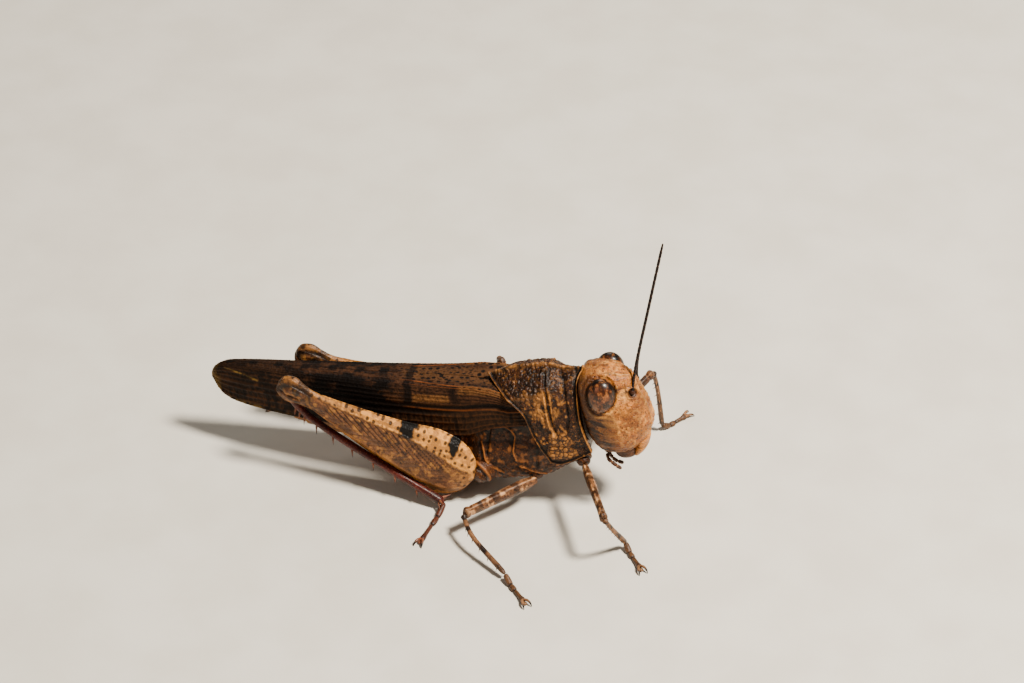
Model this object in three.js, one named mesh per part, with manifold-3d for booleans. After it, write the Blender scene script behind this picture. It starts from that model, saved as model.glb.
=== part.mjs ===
// A life-size grasshopper, standing on its six feet: a stout band-winged locust with folded wings.
// Millimetres, +Z up, head towards +X, the animal's right side towards -Y.
import * as THREE from 'three';
import { mergeVertices } from 'three/addons/utils/BufferGeometryUtils.js';
import Module from 'manifold-3d';

const wasm = await Module();
wasm.setup();

// ---------------------------------------------------------------- driving dimensions
// Body places are given in the body's own axes: x forward along the back, y to the left, z up
// from the back, with the origin at the rear point of the thorax shield.
const BODY_PITCH = THREE.MathUtils.degToRad(10.2);
const SHIELD_POINT_HEIGHT = 13.7;
const SHELL = 0.35;
const WING_THICKNESS = 0.5;
const GAP = 0.1;
const SIDES = [{ name: 'right', sign: -1 }, { name: 'left', sign: 1 }];

// Head capsule, from the crown down to the mouth: [z, back, front, half width, front taper].
const HEAD_LEVELS = [
  [1.25, 11.1, 12.5, 0.6, 0],
  [0.95, 10.1, 13.7, 1.5, 0.2],
  [0.4, 9.7, 14.8, 2.1, 0.4],
  [-0.2, 9.6, 15.2, 2.45, 0.45],
  [-1.4, 9.6, 15.5, 2.7, 0.3],
  [-3, 9.7, 16.0, 2.95, 0.15],
  [-5, 9.9, 16.3, 3.0, 0.12],
  [-6.6, 10.2, 15.9, 2.75, 0.12],
  [-7.7, 10.7, 15.2, 2.3, 0.1],
  [-8.3, 11.2, 14.5, 1.9, 0.1],
];
const HEAD_RINGS = [1.25, 1.1, 0.8, 0.3, -0.5, -1.5, -2.8, -4.2, -5.6, -6.8, -7.7, -8.3];
// How blunt the capsule's section is: 1 is an oval, less is nearer a box.
const HEAD_BLUNTNESS = { rear: 0.32, front: 0.9 };
const EYE_CENTRE = new THREE.Vector3(12.0, 2.2, -0.9);
const EYE_RADII = new THREE.Vector3(1.32, 1.15, 1.95);
const EYE_TILT = THREE.MathUtils.degToRad(12);

// Thorax shield: crest height, shoulder and flank half widths along x.
const SHIELD_CREST = [
  [0, 0], [1.5, 0.56], [3, 0.98], [5, 1.26], [6.4, 1.34], [7.9, 0.94], [8.6, 0.88], [10.1, 0.9],
];
const SHIELD_SHOULDER = [[0, 2.8], [3, 3.2], [5, 3.05], [7, 2.3], [8.2, 1.65], [10.1, 1.4]];
const SHIELD_FLANK = [[0, 3.5], [3, 3.6], [5, 3.6], [7, 3.35], [10.1, 3.1]];
const SHIELD_HEM = [[4, -8.2], [5.6, -8.6], [6.7, -9.0], [7.7, -8.75], [10.2, -7.6]];
const SHIELD_ROOF_SLOPE = 0.45;
// Where the shield ends, across its half girth u: 0 on the crest, 1 on the lower hem.
const SHIELD_REAR = [[0, 0], [0.08, 0.45], [0.4, 2.95], [0.52, 4.1], [0.68, 4.66], [0.85, 5.2], [1, 5.75]];
const SHIELD_FRONT = [[0, 10.1], [0.2, 9.7], [0.42, 9.5], [0.7, 9.75], [1, 10.15]];

// Folded forewing: heights of its upper and lower edges, half widths at its fold and lower edge.
const WING_TIP = -30.4;
const WING_TOP = [
  [-30.4, 0.1], [-30.2, 0.55], [-29.8, 0.98], [-29.2, 1.34], [-28, 1.65], [-20, 1.1], [-10, 0.4], [-3, 0.03],
  [0, -0.36], [4.6, -0.5],
];
const WING_HEM = [
  [-30.4, 0], [-30.2, -0.55], [-29.8, -1.3], [-29.2, -2.05], [-28.2, -2.6], [-26.5, -3.08], [-23.6, -3.6],
  [-18, -4.35], [-10, -5.0], [-3, -5.15], [0.2, -4.2], [3, -3.8], [4.6, -3.6],
];
const WING_FOLD_HALF = [[-30.4, 0.12], [-28, 0.6], [-20, 1.15], [-10, 1.7], [0, 2.15], [4.6, 2.5]];
const WING_HEM_HALF = [[-30.4, 0.2], [-29.5, 0.7], [-28, 1.1], [-20, 2.3], [-10, 3.1], [0, 3.55], [4.6, 3.6]];
const WING_START = [[0, -0.15], [0.3, 1.75], [0.5, 3.1], [0.75, 4.2], [1, 4.6]];
const WING_FOLD_AT = 0.3;
const WING_PARTING = 0.06;
// How far the fold lies below the middle of the back.
const WING_FOLD_DROP = [
  [-30.4, 0.03], [-26.4, 0.18], [-6, 0.14], [-3, 0.02], [-0.8, -0.32], [0.6, -0.24], [2.4, 0.16],
];
// The hindwing reaches from the first of these to the second.
const HINDWING_SPAN = [-5.2, -24];
// Share of a section's height the wing's roof takes up where the tip grows shallow.
const WING_CLOSING = 0.3;

// Trunk outlines along x: top, bottom and greatest half width.
const THORAX_TOP = [[-4.2, -1.7], [0, -1.4], [4, -0.6], [8, -0.5], [9.3, -1.0]];
const THORAX_BOTTOM = [[-4.2, -11.3], [-3, -11.45], [4, -11.2], [7, -10.1], [9.3, -8.8]];
const THORAX_HALF = [[-4.2, 3.15], [0, 3.45], [4, 3.3], [7, 2.75], [9.3, 2.2]];
const ABDOMEN_TOP = [[-23, -3.1], [-22, -2.4], [-18, -1.3], [-10, -1.45], [-4.3, -1.75]];
const ABDOMEN_BOTTOM = [
  [-23, -4.7], [-22, -5.3], [-20, -6.2], [-16, -7.7], [-12, -9.0], [-8, -10.1], [-4.3, -11.0],
];
const ABDOMEN_HALF = [[-23, 0.8], [-22, 1.2], [-18, 1.75], [-12, 2.3], [-4.3, 2.6]];
// Half a girth from top to bottom as shares of the half width and height, mirrored by `trunk`.
const THORAX_GIRTH = [
  [0.25, 1], [0.62, 0.9], [0.72, 0.68], [0.8, 0.52], [1, 0.38], [1, 0.2], [0.88, 0.06], [0.5, 0],
];
const ABDOMEN_GIRTH = [[0.2, 1], [0.55, 0.92], [0.84, 0.75], [1, 0.5], [0.92, 0.24], [0.62, 0.07], [0.22, 0]];

// The ring behind the abdomen with its hooked valves, and the cerci beside it. Steps are measured
// from the root, on the left and upper side.
const VALVE_ROOT = [-23.12, 0, -3.9];
const VALVE_RING = { steps: [[0, 0, 0], [-0.5, 0, 0], [-1, 0, 0]], thickness: 1.5, tip: 1 };
const VALVE = { steps: [[-0.4, 0.3, 0.3], [-1.4, 0.35, 0.35], [-2.3, 0.35, 0.85]], thickness: 0.75, tip: 0.2 };
const CERCUS_ROOT = [-21.9, 0.9, -3.5];
const CERCUS = { steps: [[0, 0, 0], [-0.7, 0.12, -0.05], [-1.4, 0.15, -0.1]], thickness: 0.6, tip: 0.25 };

// Antennae: where each leaves the head, and the places along it, measured from there. Thickness
// tables run from the root, 0, to the end, 1.
const ANTENNA_THICKNESS = [[0, 0.62], [0.04, 0.66], [0.075, 0.5], [0.5, 0.52], [0.96, 0.5], [1, 0.4]];
const ANTENNAE = {
  right: { root: [14.7, -0.75, -1.1], lean: [[0, 0, 0], [0.75, 0.5, 2.2], [2.6, 2.3, 8.2], [4.6, 4.4, 14.6]] },
  left: { root: [14.7, 0.75, -1.1], lean: [[0, 0, 0], [0.65, 0.5, 2.1], [2.3, 2.2, 7.6], [4.1, 4.2, 13.4]] },
};

// Mouthparts: the upper lip, the pair of jaws and the feelers of the lower jaws.
const LIP = {
  route: [[15.0, 0, -7.2], [14.7, 0, -8.3], [13.9, 0, -9.5]],
  depth: [[0, 1.5], [0.5, 1.3], [1, 0.7]],
  width: [[0, 3.1], [0.35, 3.3], [0.8, 2.8], [1, 1.9]],
};
const JAWS = {
  route: [[13.1, 0, -7.9], [13.15, 0, -8.8], [13.2, 0, -9.5]],
  depth: [[0, 2.5], [0.6, 2.3], [1, 1.1]],
  width: [[0, 3.4], [0.6, 3.3], [1, 2.2]],
};
const PALP_THICKNESS = [[0, 0.5], [0.8, 0.55], [1, 0.5]];
const PALP_ROOT = [[11.0, 1.0, -8.6], [11.6, 1.35, -9.1]];
const LONG_PALP = [[11.2, 1.35, -8.9], [11.5, 2.05, -9.1], [12.1, 2.25, -9.6], [12.6, 1.95, -10.4]];
const SHORT_PALP = [[11.3, 1.1, -9.0], [11.9, 1.25, -9.8], [12.7, 1.15, -10.3]];

// Legs. `coxa` and `hip` are places on the right side of the body, mirrored for the left; `knee`,
// `ankle` and `toe` are places above the floor. The shin bows away from the bend of the knee.
const LEGS = [
  {
    name: 'fore', coxa: [8.5, -1.25, -8.2], hip: [9.15, -2.95, -9.25], stoutness: 1, bow: 0.2,
    right: { knee: [14.3, -10.6, 6.2], ankle: [15.9, -7.4, 0.75], toe: [18.0, -10.2, 0.22] },
    left: { knee: [15.0, 10.2, 8.95], ankle: [15.95, 11.6, 0.8], toe: [18.0, 14.4, 0.22] },
  },
  {
    name: 'mid', coxa: [3.4, -1.7, -10.0], hip: [3.8, -3.05, -11.0], stoutness: 1.15, bow: 0.5,
    right: { knee: [-0.5, -9.4, 2.86], ankle: [5.2, -14.8, 0.75], toe: [7.8, -17.7, 0.22] },
    left: { knee: [-1.25, 8.9, 8.9], ankle: [1.6, 11.7, 0.8], toe: [2.9, 15.4, 0.22] },
  },
];
const COXA_THICKNESS = [[0, 2.2], [0.55, 1.9], [1, 1.0]];
const HIND_COXA_SIZE = 1.5;
const FEMUR_DEPTH = [[0, 0.8], [0.25, 1.25], [0.7, 1.1], [0.93, 1.2], [1, 0.9]];
const FEMUR_WIDTH = [[0, 0.7], [0.25, 1.0], [0.8, 0.85], [1, 0.7]];
const TIBIA_THICKNESS = [[0, 0.6], [0.08, 0.72], [0.5, 0.6], [0.92, 0.66], [1, 0.6]];
const TIBIA_BOW_AT = 0.3;
const TARSUS_THICKNESS = [
  [0, 0.56], [0.2, 0.68], [0.36, 0.54], [0.48, 0.66], [0.56, 0.5], [0.8, 0.54], [0.94, 0.68], [1, 0.5],
];
// A claw's places as [ahead of the toe, aside, above the floor].
const CLAW = [[-0.2, 0.1, 0.34], [0.3, 0.32, 0.5], [0.7, 0.42, 0.34], [0.85, 0.45, 0.08]];
const CLAW_THICKNESS = [[0, 0.34], [0.6, 0.22], [1, 0.1]];
const HIND_LEG = {
  coxa: [-1.4, -2.4, -9.5], hip: [-2.4, -4.3, -10.1], ankle: [-3.4, -5.8, 0.75], toe: [-4.4, -11.4, 0.22],
  right: { knee: [-21.5, -3.6, 1.65] },
  left: { knee: [-22.2, -3.6, 0.15] },
};
// Where the shin starts and the neck that it bends through, measured from the knee.
const SHIN_ROOT = [0.5, 0, -0.8];
const SHIN_NECK = [2.4, -0.05, -4.15];
const SHIN_THICKNESS = [[0, 1.0], [0.06, 1.25], [0.14, 0.9], [0.5, 0.86], [0.9, 0.95], [1, 1.1]];
const THIGH_DEPTH = [
  [0, 2.8], [0.05, 5.6], [0.12, 7.5], [0.19, 8.3], [0.26, 8.4], [0.33, 7.9], [0.4, 7.0], [0.5, 5.9], [0.7, 3.8],
  [0.83, 2.5], [0.89, 3.1], [0.935, 3.7], [0.97, 3.2], [1, 1.9],
];
const THIGH_WIDTH = [[0, 1.2], [0.15, 2.4], [0.4, 2.3], [0.7, 1.6], [0.86, 1.35], [0.94, 1.7], [1, 1.1]];
const THIGH_BOW = 0.35;
const THIGH_BOW_AT = 0.45;
// Half the thigh's section: keels above and below, a flat outer face between two ridges.
const THIGH_SECTION = [[0, 1], [0.5, 0.86], [0.9, 0.55], [1, 0], [0.9, -0.5], [0.4, -0.8]];

// Spines in two rows along the shin's lower side, and spurs round its end.
const SPINE_PAIRS = 9;
const SPINE_ROW = [0.32, 0.88];
const SPINE_STAGGER = 0.03;
const SPINE_TURN = 0.75;
const SPINE_LENGTH = 0.95;
const SPINE_THICKNESS = 0.34;
const SPINE_RISE = 0.8;
const SPINE_LEAN = 0.6;
const SPINE_SEAT = 0.3;
const SPINE_DEPTH = 0.1;
const SPUR_TURNS = [-2.2, -1.5, 1.5, 2.2];
const SPUR_PLACE = 0.985;
const SPUR_LENGTH = 1.4;

// ---------------------------------------------------------------- smooth curves and closed meshes
const UP = new THREE.Vector3(0, 0, 1);
const FORWARD = new THREE.Vector3(1, 0, 0);
const vec = (x, y, z) => new THREE.Vector3(x, y, z);

// A smooth function through [x, value] stations that never overshoots them.
function through(stations) {
  const slopes = stations.slice(1).map((s, i) => (s[1] - stations[i][1]) / (s[0] - stations[i][0]));
  const tangents = stations.map((_, i) => {
    if (i === 0) return slopes[0];
    if (i === slopes.length) return slopes[i - 1];
    return slopes[i - 1] * slopes[i] <= 0 ? 0 : (2 * slopes[i - 1] * slopes[i]) / (slopes[i - 1] + slopes[i]);
  });
  return (x) => {
    const last = stations.length - 2;
    let i = stations.findIndex((s) => s[0] > x) - 1;
    if (x <= stations[0][0]) return stations[0][1];
    if (i < 0) return stations[last + 1][1];
    i = Math.min(i, last);
    const step = stations[i + 1][0] - stations[i][0];
    const t = (x - stations[i][0]) / step;
    const from = (1 + 2 * t) * (1 - t) ** 2 * stations[i][1] + t * (1 - t) ** 2 * step * tangents[i];
    const to = t * t * (3 - 2 * t) * stations[i + 1][1] + t * t * (t - 1) * step * tangents[i + 1];
    return from + to;
  };
}

// A closed indexed mesh, its faces turned outward.
function closedMesh(points, triangles) {
  const volume = triangles.reduce((sum, [a, b, c]) => {
    return sum + points[a].dot(new THREE.Vector3().crossVectors(points[b], points[c]));
  }, 0);
  const outward = volume > 0 ? triangles : triangles.map(([a, b, c]) => [a, c, b]);
  const geometry = new THREE.BufferGeometry().setFromPoints(points);
  geometry.setIndex(outward.flat());
  return geometry;
}

// Skins equal rings of points one after another and closes both ends with fans.
function loft(rings) {
  const size = rings[0].length;
  const points = rings.flat();
  const triangles = [];
  for (let r = 0; r + 1 < rings.length; r += 1) {
    for (let i = 0; i < size; i += 1) {
      const a = r * size + i;
      const b = r * size + ((i + 1) % size);
      triangles.push([a, b, b + size], [a, b + size, a + size]);
    }
  }
  for (const [ring, first, turn] of [[rings[0], 0, 1], [rings.at(-1), points.length - size, -1]]) {
    const middle = ring.reduce((sum, p) => sum.add(p), new THREE.Vector3()).divideScalar(size);
    points.push(middle);
    for (let i = 0; i < size; i += 1) {
      const pair = [first + i, first + ((i + 1) % size)];
      triangles.push(turn > 0 ? [points.length - 1, pair[1], pair[0]] : [points.length - 1, pair[0], pair[1]]);
    }
  }
  return closedMesh(points, triangles);
}

// A slab between two faces, each a surface(u, v) laid out on an across by along grid.
function slab(outer, inner, across, along) {
  const faces = [outer, inner].map((surface) => {
    const grid = [];
    for (let i = 0; i <= across; i += 1) {
      for (let j = 0; j <= along; j += 1) grid.push(surface(i / across, j / along));
    }
    return grid;
  });
  const count = faces[0].length;
  const cell = (i, j) => i * (along + 1) + j;
  const triangles = [];
  const quad = (a, b, c, d) => triangles.push([a, b, c], [a, c, d]);
  for (let i = 0; i < across; i += 1) {
    for (let j = 0; j < along; j += 1) {
      const [a, b, c, d] = [cell(i, j), cell(i + 1, j), cell(i + 1, j + 1), cell(i, j + 1)];
      quad(a, b, c, d);
      quad(a + count, d + count, c + count, b + count);
    }
    quad(cell(i, 0), cell(i, 0) + count, cell(i + 1, 0) + count, cell(i + 1, 0));
    quad(cell(i + 1, along), cell(i + 1, along) + count, cell(i, along) + count, cell(i, along));
  }
  for (let j = 0; j < along; j += 1) {
    quad(cell(0, j + 1), cell(0, j + 1) + count, cell(0, j) + count, cell(0, j));
    quad(cell(across, j), cell(across, j) + count, cell(across, j + 1) + count, cell(across, j + 1));
  }
  return closedMesh(faces.flat(), triangles);
}

// A surface(u, v) moved `offset` along its normal.
const lifted = (surface, offset) => (u, v) => {
  const nudge = 1e-3;
  const du = surface(Math.min(u + nudge, 1), v).sub(surface(Math.max(u - nudge, 0), v));
  const dv = surface(u, Math.min(v + nudge, 1)).sub(surface(u, Math.max(v - nudge, 0)));
  return surface(u, v).addScaledVector(du.cross(dv).normalize(), offset);
};

// A rod with an oval section along at(t), t from 0 to 1. `depth` is measured towards `up` and
// `width` across it, `outline` is the unit section, and `grow` swells the rod all round.
// With `floored` its underside is pressed flat on the floor.
function rod({ at, depth, width, up, steps, outline = oval(8), grow = 0, floored = false }) {
  const nudge = 1e-3;
  const rings = [];
  for (let s = 0; s <= steps; s += 1) {
    const t = s / steps;
    const tangent = at(Math.min(t + nudge, 1)).sub(at(Math.max(t - nudge, 0))).normalize();
    const high = up.clone().addScaledVector(tangent, -up.dot(tangent)).normalize();
    const side = new THREE.Vector3().crossVectors(tangent, high);
    const middle = at(t);
    if (s === 0) middle.addScaledVector(tangent, -grow);
    if (s === steps) middle.addScaledVector(tangent, grow);
    rings.push(outline.map(([across, along]) => {
      const point = middle.clone();
      point.addScaledVector(side, across * (width(t) / 2 + grow));
      point.addScaledVector(high, along * (depth(t) / 2 + grow));
      if (floored) point.z = Math.max(point.z, 0);
      return point;
    }));
  }
  return loft(rings);
}

// The unit circle in `sides` points.
function oval(sides) {
  return Array.from({ length: sides }, (_, i) => {
    const angle = ((i + 0.5) / sides) * 2 * Math.PI;
    return [Math.sin(angle), Math.cos(angle)];
  });
}

// Numbers from one to another in equal steps, both ends among them.
function evenly(from, to, steps) {
  return Array.from({ length: steps + 1 }, (_, i) => from + ((to - from) * i) / steps);
}

// A smooth path through joints, as a function of t from 0 to 1.
function path(...joints) {
  const curve = new THREE.CatmullRomCurve3(joints, false, 'centripetal');
  return (t) => curve.getPoint(t);
}

function solidOf(geometry) {
  const index = geometry.index;
  return new wasm.Manifold(new wasm.Mesh({
    numProp: 3,
    vertProperties: new Float32Array(geometry.getAttribute('position').array),
    triVerts: new Uint32Array(index.array),
  }));
}

function geometryOf(solid) {
  const mesh = solid.getMesh();
  const geometry = new THREE.BufferGeometry();
  geometry.setAttribute('position', new THREE.BufferAttribute(mesh.vertProperties, 3));
  geometry.setIndex(new THREE.BufferAttribute(mesh.triVerts, 1));
  return geometry;
}

// Cuts `tools` out of a geometry, or joins them to it.
const SLIVER = 0.015;
function cut(geometry, ...tools) {
  const rest = tools.reduce((left, tool) => left.subtract(solidOf(tool)), solidOf(geometry));
  return geometryOf(rest.simplify(SLIVER));
}
function join(geometry, ...tools) {
  const whole = tools.reduce((left, tool) => left.add(solidOf(tool)), solidOf(geometry));
  return geometryOf(whole.simplify(SLIVER));
}

// ---------------------------------------------------------------- the model and its materials
const model = new THREE.Group();
const animal = new THREE.Group();
const body = new THREE.Group();
model.add(animal);
animal.add(body);
body.rotation.y = -BODY_PITCH;
body.position.z = SHIELD_POINT_HEIGHT;
body.updateMatrix();

const FACE_TAN = 0xb9713a;
const SHIELD_BROWN = 0x5a3420;
const PLEURA_BROWN = 0x6b3d22;
const WING_BROWN = 0x4a2c1c;
const FEMUR_TAN = 0xc08b52;
const LEG_BROWN = 0x8c5a41;
const TIBIA_RED = 0x6a1f18;
const EYE_BROWN = 0x5b3322;
const FEELER_BLACK = 0x1c1110;

function addTo(group, name, geometry, color, roughness = 0.5) {
  const material = new THREE.MeshStandardMaterial({ color, roughness, metalness: 0 });
  const mesh = new THREE.Mesh(geometry, material);
  mesh.name = name;
  group.add(mesh);
}

// Turn a place or a geometry from the body's axes to the floor's, and a geometry back.
const toFloor = ([x, y, z]) => new THREE.Vector3(x, y, z).applyMatrix4(body.matrix);
const onFloor = (geometry) => geometry.clone().applyMatrix4(body.matrix);
const onBody = (geometry) => geometry.clone().applyMatrix4(body.matrix.clone().invert());

// ---------------------------------------------------------------- head
const headRear = through(HEAD_LEVELS.map((level) => [-level[0], level[1]]));
const headFront = through(HEAD_LEVELS.map((level) => [-level[0], level[2]]));
const headHalf = through(HEAD_LEVELS.map((level) => [-level[0], level[3]]));
const headTaper = through(HEAD_LEVELS.map((level) => [-level[0], level[4]]));

function headCapsule(grow) {
  return loft(HEAD_RINGS.map((z, row) => {
    const middle = (headRear(-z) + headFront(-z)) / 2;
    const reach = (headFront(-z) - headRear(-z)) / 2 + grow;
    const height = z + (row === 0 ? grow : 0) - (row === HEAD_RINGS.length - 1 ? grow : 0);
    return oval(16).map(([sine, cosine]) => {
      const bluntness = cosine < 0 ? HEAD_BLUNTNESS.rear : HEAD_BLUNTNESS.front;
      const x = Math.sign(cosine) * Math.abs(cosine) ** bluntness;
      const y = Math.sign(sine) * Math.abs(sine) ** bluntness;
      const narrowing = 1 - headTaper(-z) * Math.max(x, 0);
      return vec(middle + reach * x, (headHalf(-z) * narrowing + grow) * y, height);
    });
  }));
}

function eyeball(sign, grow) {
  const ball = new THREE.SphereGeometry(1, 12, 7);
  ball.rotateX(Math.PI / 2);
  ball.scale(EYE_RADII.x + grow, EYE_RADII.y + grow, EYE_RADII.z + grow);
  ball.rotateY(EYE_TILT);
  ball.translate(EYE_CENTRE.x, sign * EYE_CENTRE.y, EYE_CENTRE.z);
  ball.deleteAttribute('normal');
  ball.deleteAttribute('uv');
  return mergeVertices(ball);
}

// The antenna: a thick scape, a narrow neck and a long even whip.
function antenna(side, grow) {
  const { root, lean } = ANTENNAE[side];
  const thickness = through(ANTENNA_THICKNESS);
  const route = path(...lean.map((step) => vec(...root).add(vec(...step))));
  return rod({ at: route, depth: thickness, width: thickness, up: FORWARD, steps: 12, outline: oval(5), grow });
}

// The upper lip or the jaws, a broad lobe hanging from the head.
function mouthLobe({ route, depth, width }, steps, grow) {
  const at = path(...route.map((place) => vec(...place)));
  return rod({ at, depth: through(depth), width: through(width), up: FORWARD, steps, outline: oval(10), grow });
}
const upperLip = (grow) => mouthLobe(LIP, 5, grow);
const jaws = (grow) => mouthLobe(JAWS, 4, grow);

// The two jointed feelers of one side's lower jaw, joined at a small plate.
function palps(sign) {
  const thickness = through(PALP_THICKNESS);
  const feeler = (joints) => rod({
    at: path(...joints.map(([x, y, z]) => vec(x, sign * y, z))),
    depth: thickness, width: thickness, up: FORWARD, steps: 4, outline: oval(5),
  });
  return join(feeler(PALP_ROOT), feeler(LONG_PALP), feeler(SHORT_PALP));
}

const headTools = SIDES.flatMap(({ name, sign }) => [eyeball(sign, GAP / 2), antenna(name, GAP)]);
headTools.push(upperLip(GAP));
addTo(body, 'head', cut(headCapsule(0), ...headTools), FACE_TAN);
addTo(body, 'labrum', upperLip(0), FACE_TAN);
addTo(body, 'mandibles', cut(jaws(0), headCapsule(GAP), upperLip(GAP)), SHIELD_BROWN);
for (const { name, sign } of SIDES) {
  addTo(body, `eye_${name}`, eyeball(sign, 0), EYE_BROWN, 0.2);
  addTo(body, `antenna_${name}`, antenna(name, 0), FEELER_BLACK);
  addTo(body, `palps_${name}`, cut(palps(sign), headCapsule(GAP), jaws(GAP)), SHIELD_BROWN);
}

// ---------------------------------------------------------------- thorax shield
const crest = through(SHIELD_CREST);
const shoulder = through(SHIELD_SHOULDER);
const flank = through(SHIELD_FLANK);
const hem = through(SHIELD_HEM);
const shieldRear = through(SHIELD_REAR);
const shieldFront = through(SHIELD_FRONT);

// The shield's outer face at girth u (-1 right hem, 0 crest, 1 left hem) and length v.
function shieldFace(u, v) {
  const girth = Math.abs(u);
  const x = shieldRear(girth) + v * (shieldFront(girth) - shieldRear(girth));
  const roof = (y) => crest(x) - SHIELD_ROOF_SLOPE * y;
  const wide = shoulder(x);
  const half = through([[0, 0], [0.2, 0.6 * wide], [0.36, wide], [0.62, flank(x)], [1, flank(x) - 0.3]]);
  const fall = 0.4 * roof(wide) + 0.6 * hem(x);
  const edge = roof(wide) - 0.3;
  const height = through([[0, crest(x)], [0.2, roof(0.6 * wide)], [0.36, edge], [0.66, fall], [1, hem(x)]]);
  return vec(x, Math.sign(u) * half(girth), height(girth));
}

const shieldSkin = (offset) => lifted((u, v) => shieldFace(2 * u - 1, v), offset);
const shieldPlate = (grow) => slab(shieldSkin(grow), shieldSkin(-SHELL - grow), 16, 7);
addTo(body, 'pronotum', shieldPlate(0), SHIELD_BROWN);

// ---------------------------------------------------------------- wings
const wingTop = through(WING_TOP);
const wingHem = through(WING_HEM);
const wingFoldHalf = through(WING_FOLD_HALF);
const wingHemHalf = through(WING_HEM_HALF);
const wingFoldDrop = through(WING_FOLD_DROP);
const wingStart = through(WING_START);

// The outer face of a folded wing: w runs from the middle of the back over the fold and down to
// the hem, and s from the root to the tip.
function wingFace(sign, w, s) {
  const x = wingStart(w) + s * (WING_TIP - wingStart(w));
  const half = through([[0, WING_PARTING], [WING_FOLD_AT, wingFoldHalf(x)], [1, wingHemHalf(x)]]);
  const fold = wingTop(x) - wingFoldDrop(x);
  const height = through([[0, wingTop(x)], [WING_FOLD_AT, fold], [1, wingHem(x)]]);
  return vec(x, sign * half(w), height(w));
}

// The inner face of a folded wing, as far in as the wing is thick. Towards the tip, where the
// sections grow narrow, it closes flat against the gap between the wings.
function wingUnderside(sign, w, s) {
  const face = wingFace(sign, w, s);
  const base = wingHem(face.x);
  const tall = wingTop(face.x) - base;
  const share = Math.min(WING_THICKNESS / tall, WING_CLOSING);
  const y = Math.max(Math.abs(face.y) - WING_THICKNESS, GAP / 2);
  return vec(face.x, sign * y, face.z - share * (face.z - base));
}

function forewing(sign) {
  // rows meet the fold, and stations crowd together towards the rounded tip
  const girth = through([[0, 0], [0.4, WING_FOLD_AT], [1, 1]]);
  const along = (v) => 1 - (1 - v) ** 1.6;
  const outer = (u, v) => wingFace(sign, girth(u), along(v));
  const inner = (u, v) => wingUnderside(sign, girth(u), along(v));
  return slab(outer, inner, 5, 15);
}

// The folded hindwing, a narrow fan lying under the roof of the forewing.
function hindwing(sign) {
  const [front, rear] = HINDWING_SPAN;
  const face = (drop) => (u, v) => {
    const x = front + v * (rear - front);
    const reach = wingFoldHalf(x) - WING_THICKNESS - GAP;
    const roof = wingTop(x) - wingFoldDrop(x) * u - WING_THICKNESS - 1.5 * GAP;
    return vec(x, sign * (GAP / 2 + u * (reach - GAP / 2)), roof - drop);
  };
  return slab(face(0), face(WING_THICKNESS), 3, 8);
}

for (const { name, sign } of SIDES) {
  addTo(body, `tegmen_${name}`, forewing(sign), WING_BROWN, 0.6);
  addTo(body, `hindwing_${name}`, hindwing(sign), WING_BROWN, 0.6);
}

// ---------------------------------------------------------------- legs: parts and joints
const mirrored = ([x, y, z], sign) => vec(x, -sign * y, z);
const sideOf = ([x, y, z], sign) => toFloor([x, -sign * y, z]);
const lerp = (a, b, t) => a.clone().lerp(b, t);

function coxa(leg, sign, grow) {
  const [root, hip] = [mirrored(leg.coxa, sign), mirrored(leg.hip, sign)];
  const size = leg === HIND_LEG ? HIND_COXA_SIZE : 1;
  const thickness = through(COXA_THICKNESS.map(([t, thick]) => [t, size * thick]));
  const route = (t) => lerp(root, hip, t);
  return rod({ at: route, depth: thickness, width: thickness, up: FORWARD, steps: 3, grow });
}

function femur(leg, sign, side, grow) {
  const [hip, knee] = [sideOf(leg.hip, sign), vec(...leg[side].knee)];
  const route = (t) => lerp(hip, knee, t);
  const [depth, width] = [FEMUR_DEPTH, FEMUR_WIDTH].map((table) => {
    return through(table.map(([t, thick]) => [t, leg.stoutness * thick]));
  });
  return rod({ at: route, depth, width, up: UP, steps: 6, grow });
}

function tibia(leg, sign, side, grow) {
  const [knee, ankle] = [vec(...leg[side].knee), vec(...leg[side].ankle)];
  const along = ankle.clone().sub(knee).normalize();
  const beyondKnee = knee.clone().sub(sideOf(leg.hip, sign)).normalize();
  const outward = beyondKnee.addScaledVector(along, -beyondKnee.dot(along)).normalize();
  const route = path(knee, lerp(knee, ankle, TIBIA_BOW_AT).addScaledVector(outward, leg.bow), ankle);
  const thickness = through(TIBIA_THICKNESS);
  return rod({ at: route, depth: thickness, width: thickness, up: FORWARD, steps: 5, outline: oval(7), grow });
}

// A foot of three pads with a pair of claws, its soles flat on the floor.
function tarsus(ankle, toe) {
  const thickness = through(TARSUS_THICKNESS);
  const sole = lerp(ankle, toe, 0.3).setZ(toe.z);
  const route = path(ankle, sole, lerp(sole, toe, 0.5), toe);
  const foot = rod({
    at: route, depth: thickness, width: thickness, up: UP, steps: 8, outline: oval(6), floored: true,
  });
  const ahead = toe.clone().sub(sole).setZ(0).normalize();
  const aside = new THREE.Vector3().crossVectors(UP, ahead);
  const taper = through(CLAW_THICKNESS);
  const claws = [-1, 1].map((hand) => {
    const hook = path(...CLAW.map(([forward, out, rise]) => {
      return toe.clone().addScaledVector(ahead, forward).addScaledVector(aside, hand * out).setZ(rise);
    }));
    return rod({ at: hook, depth: taper, width: taper, up: UP, steps: 3, outline: oval(4), floored: true });
  });
  return join(foot, ...claws);
}

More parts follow.
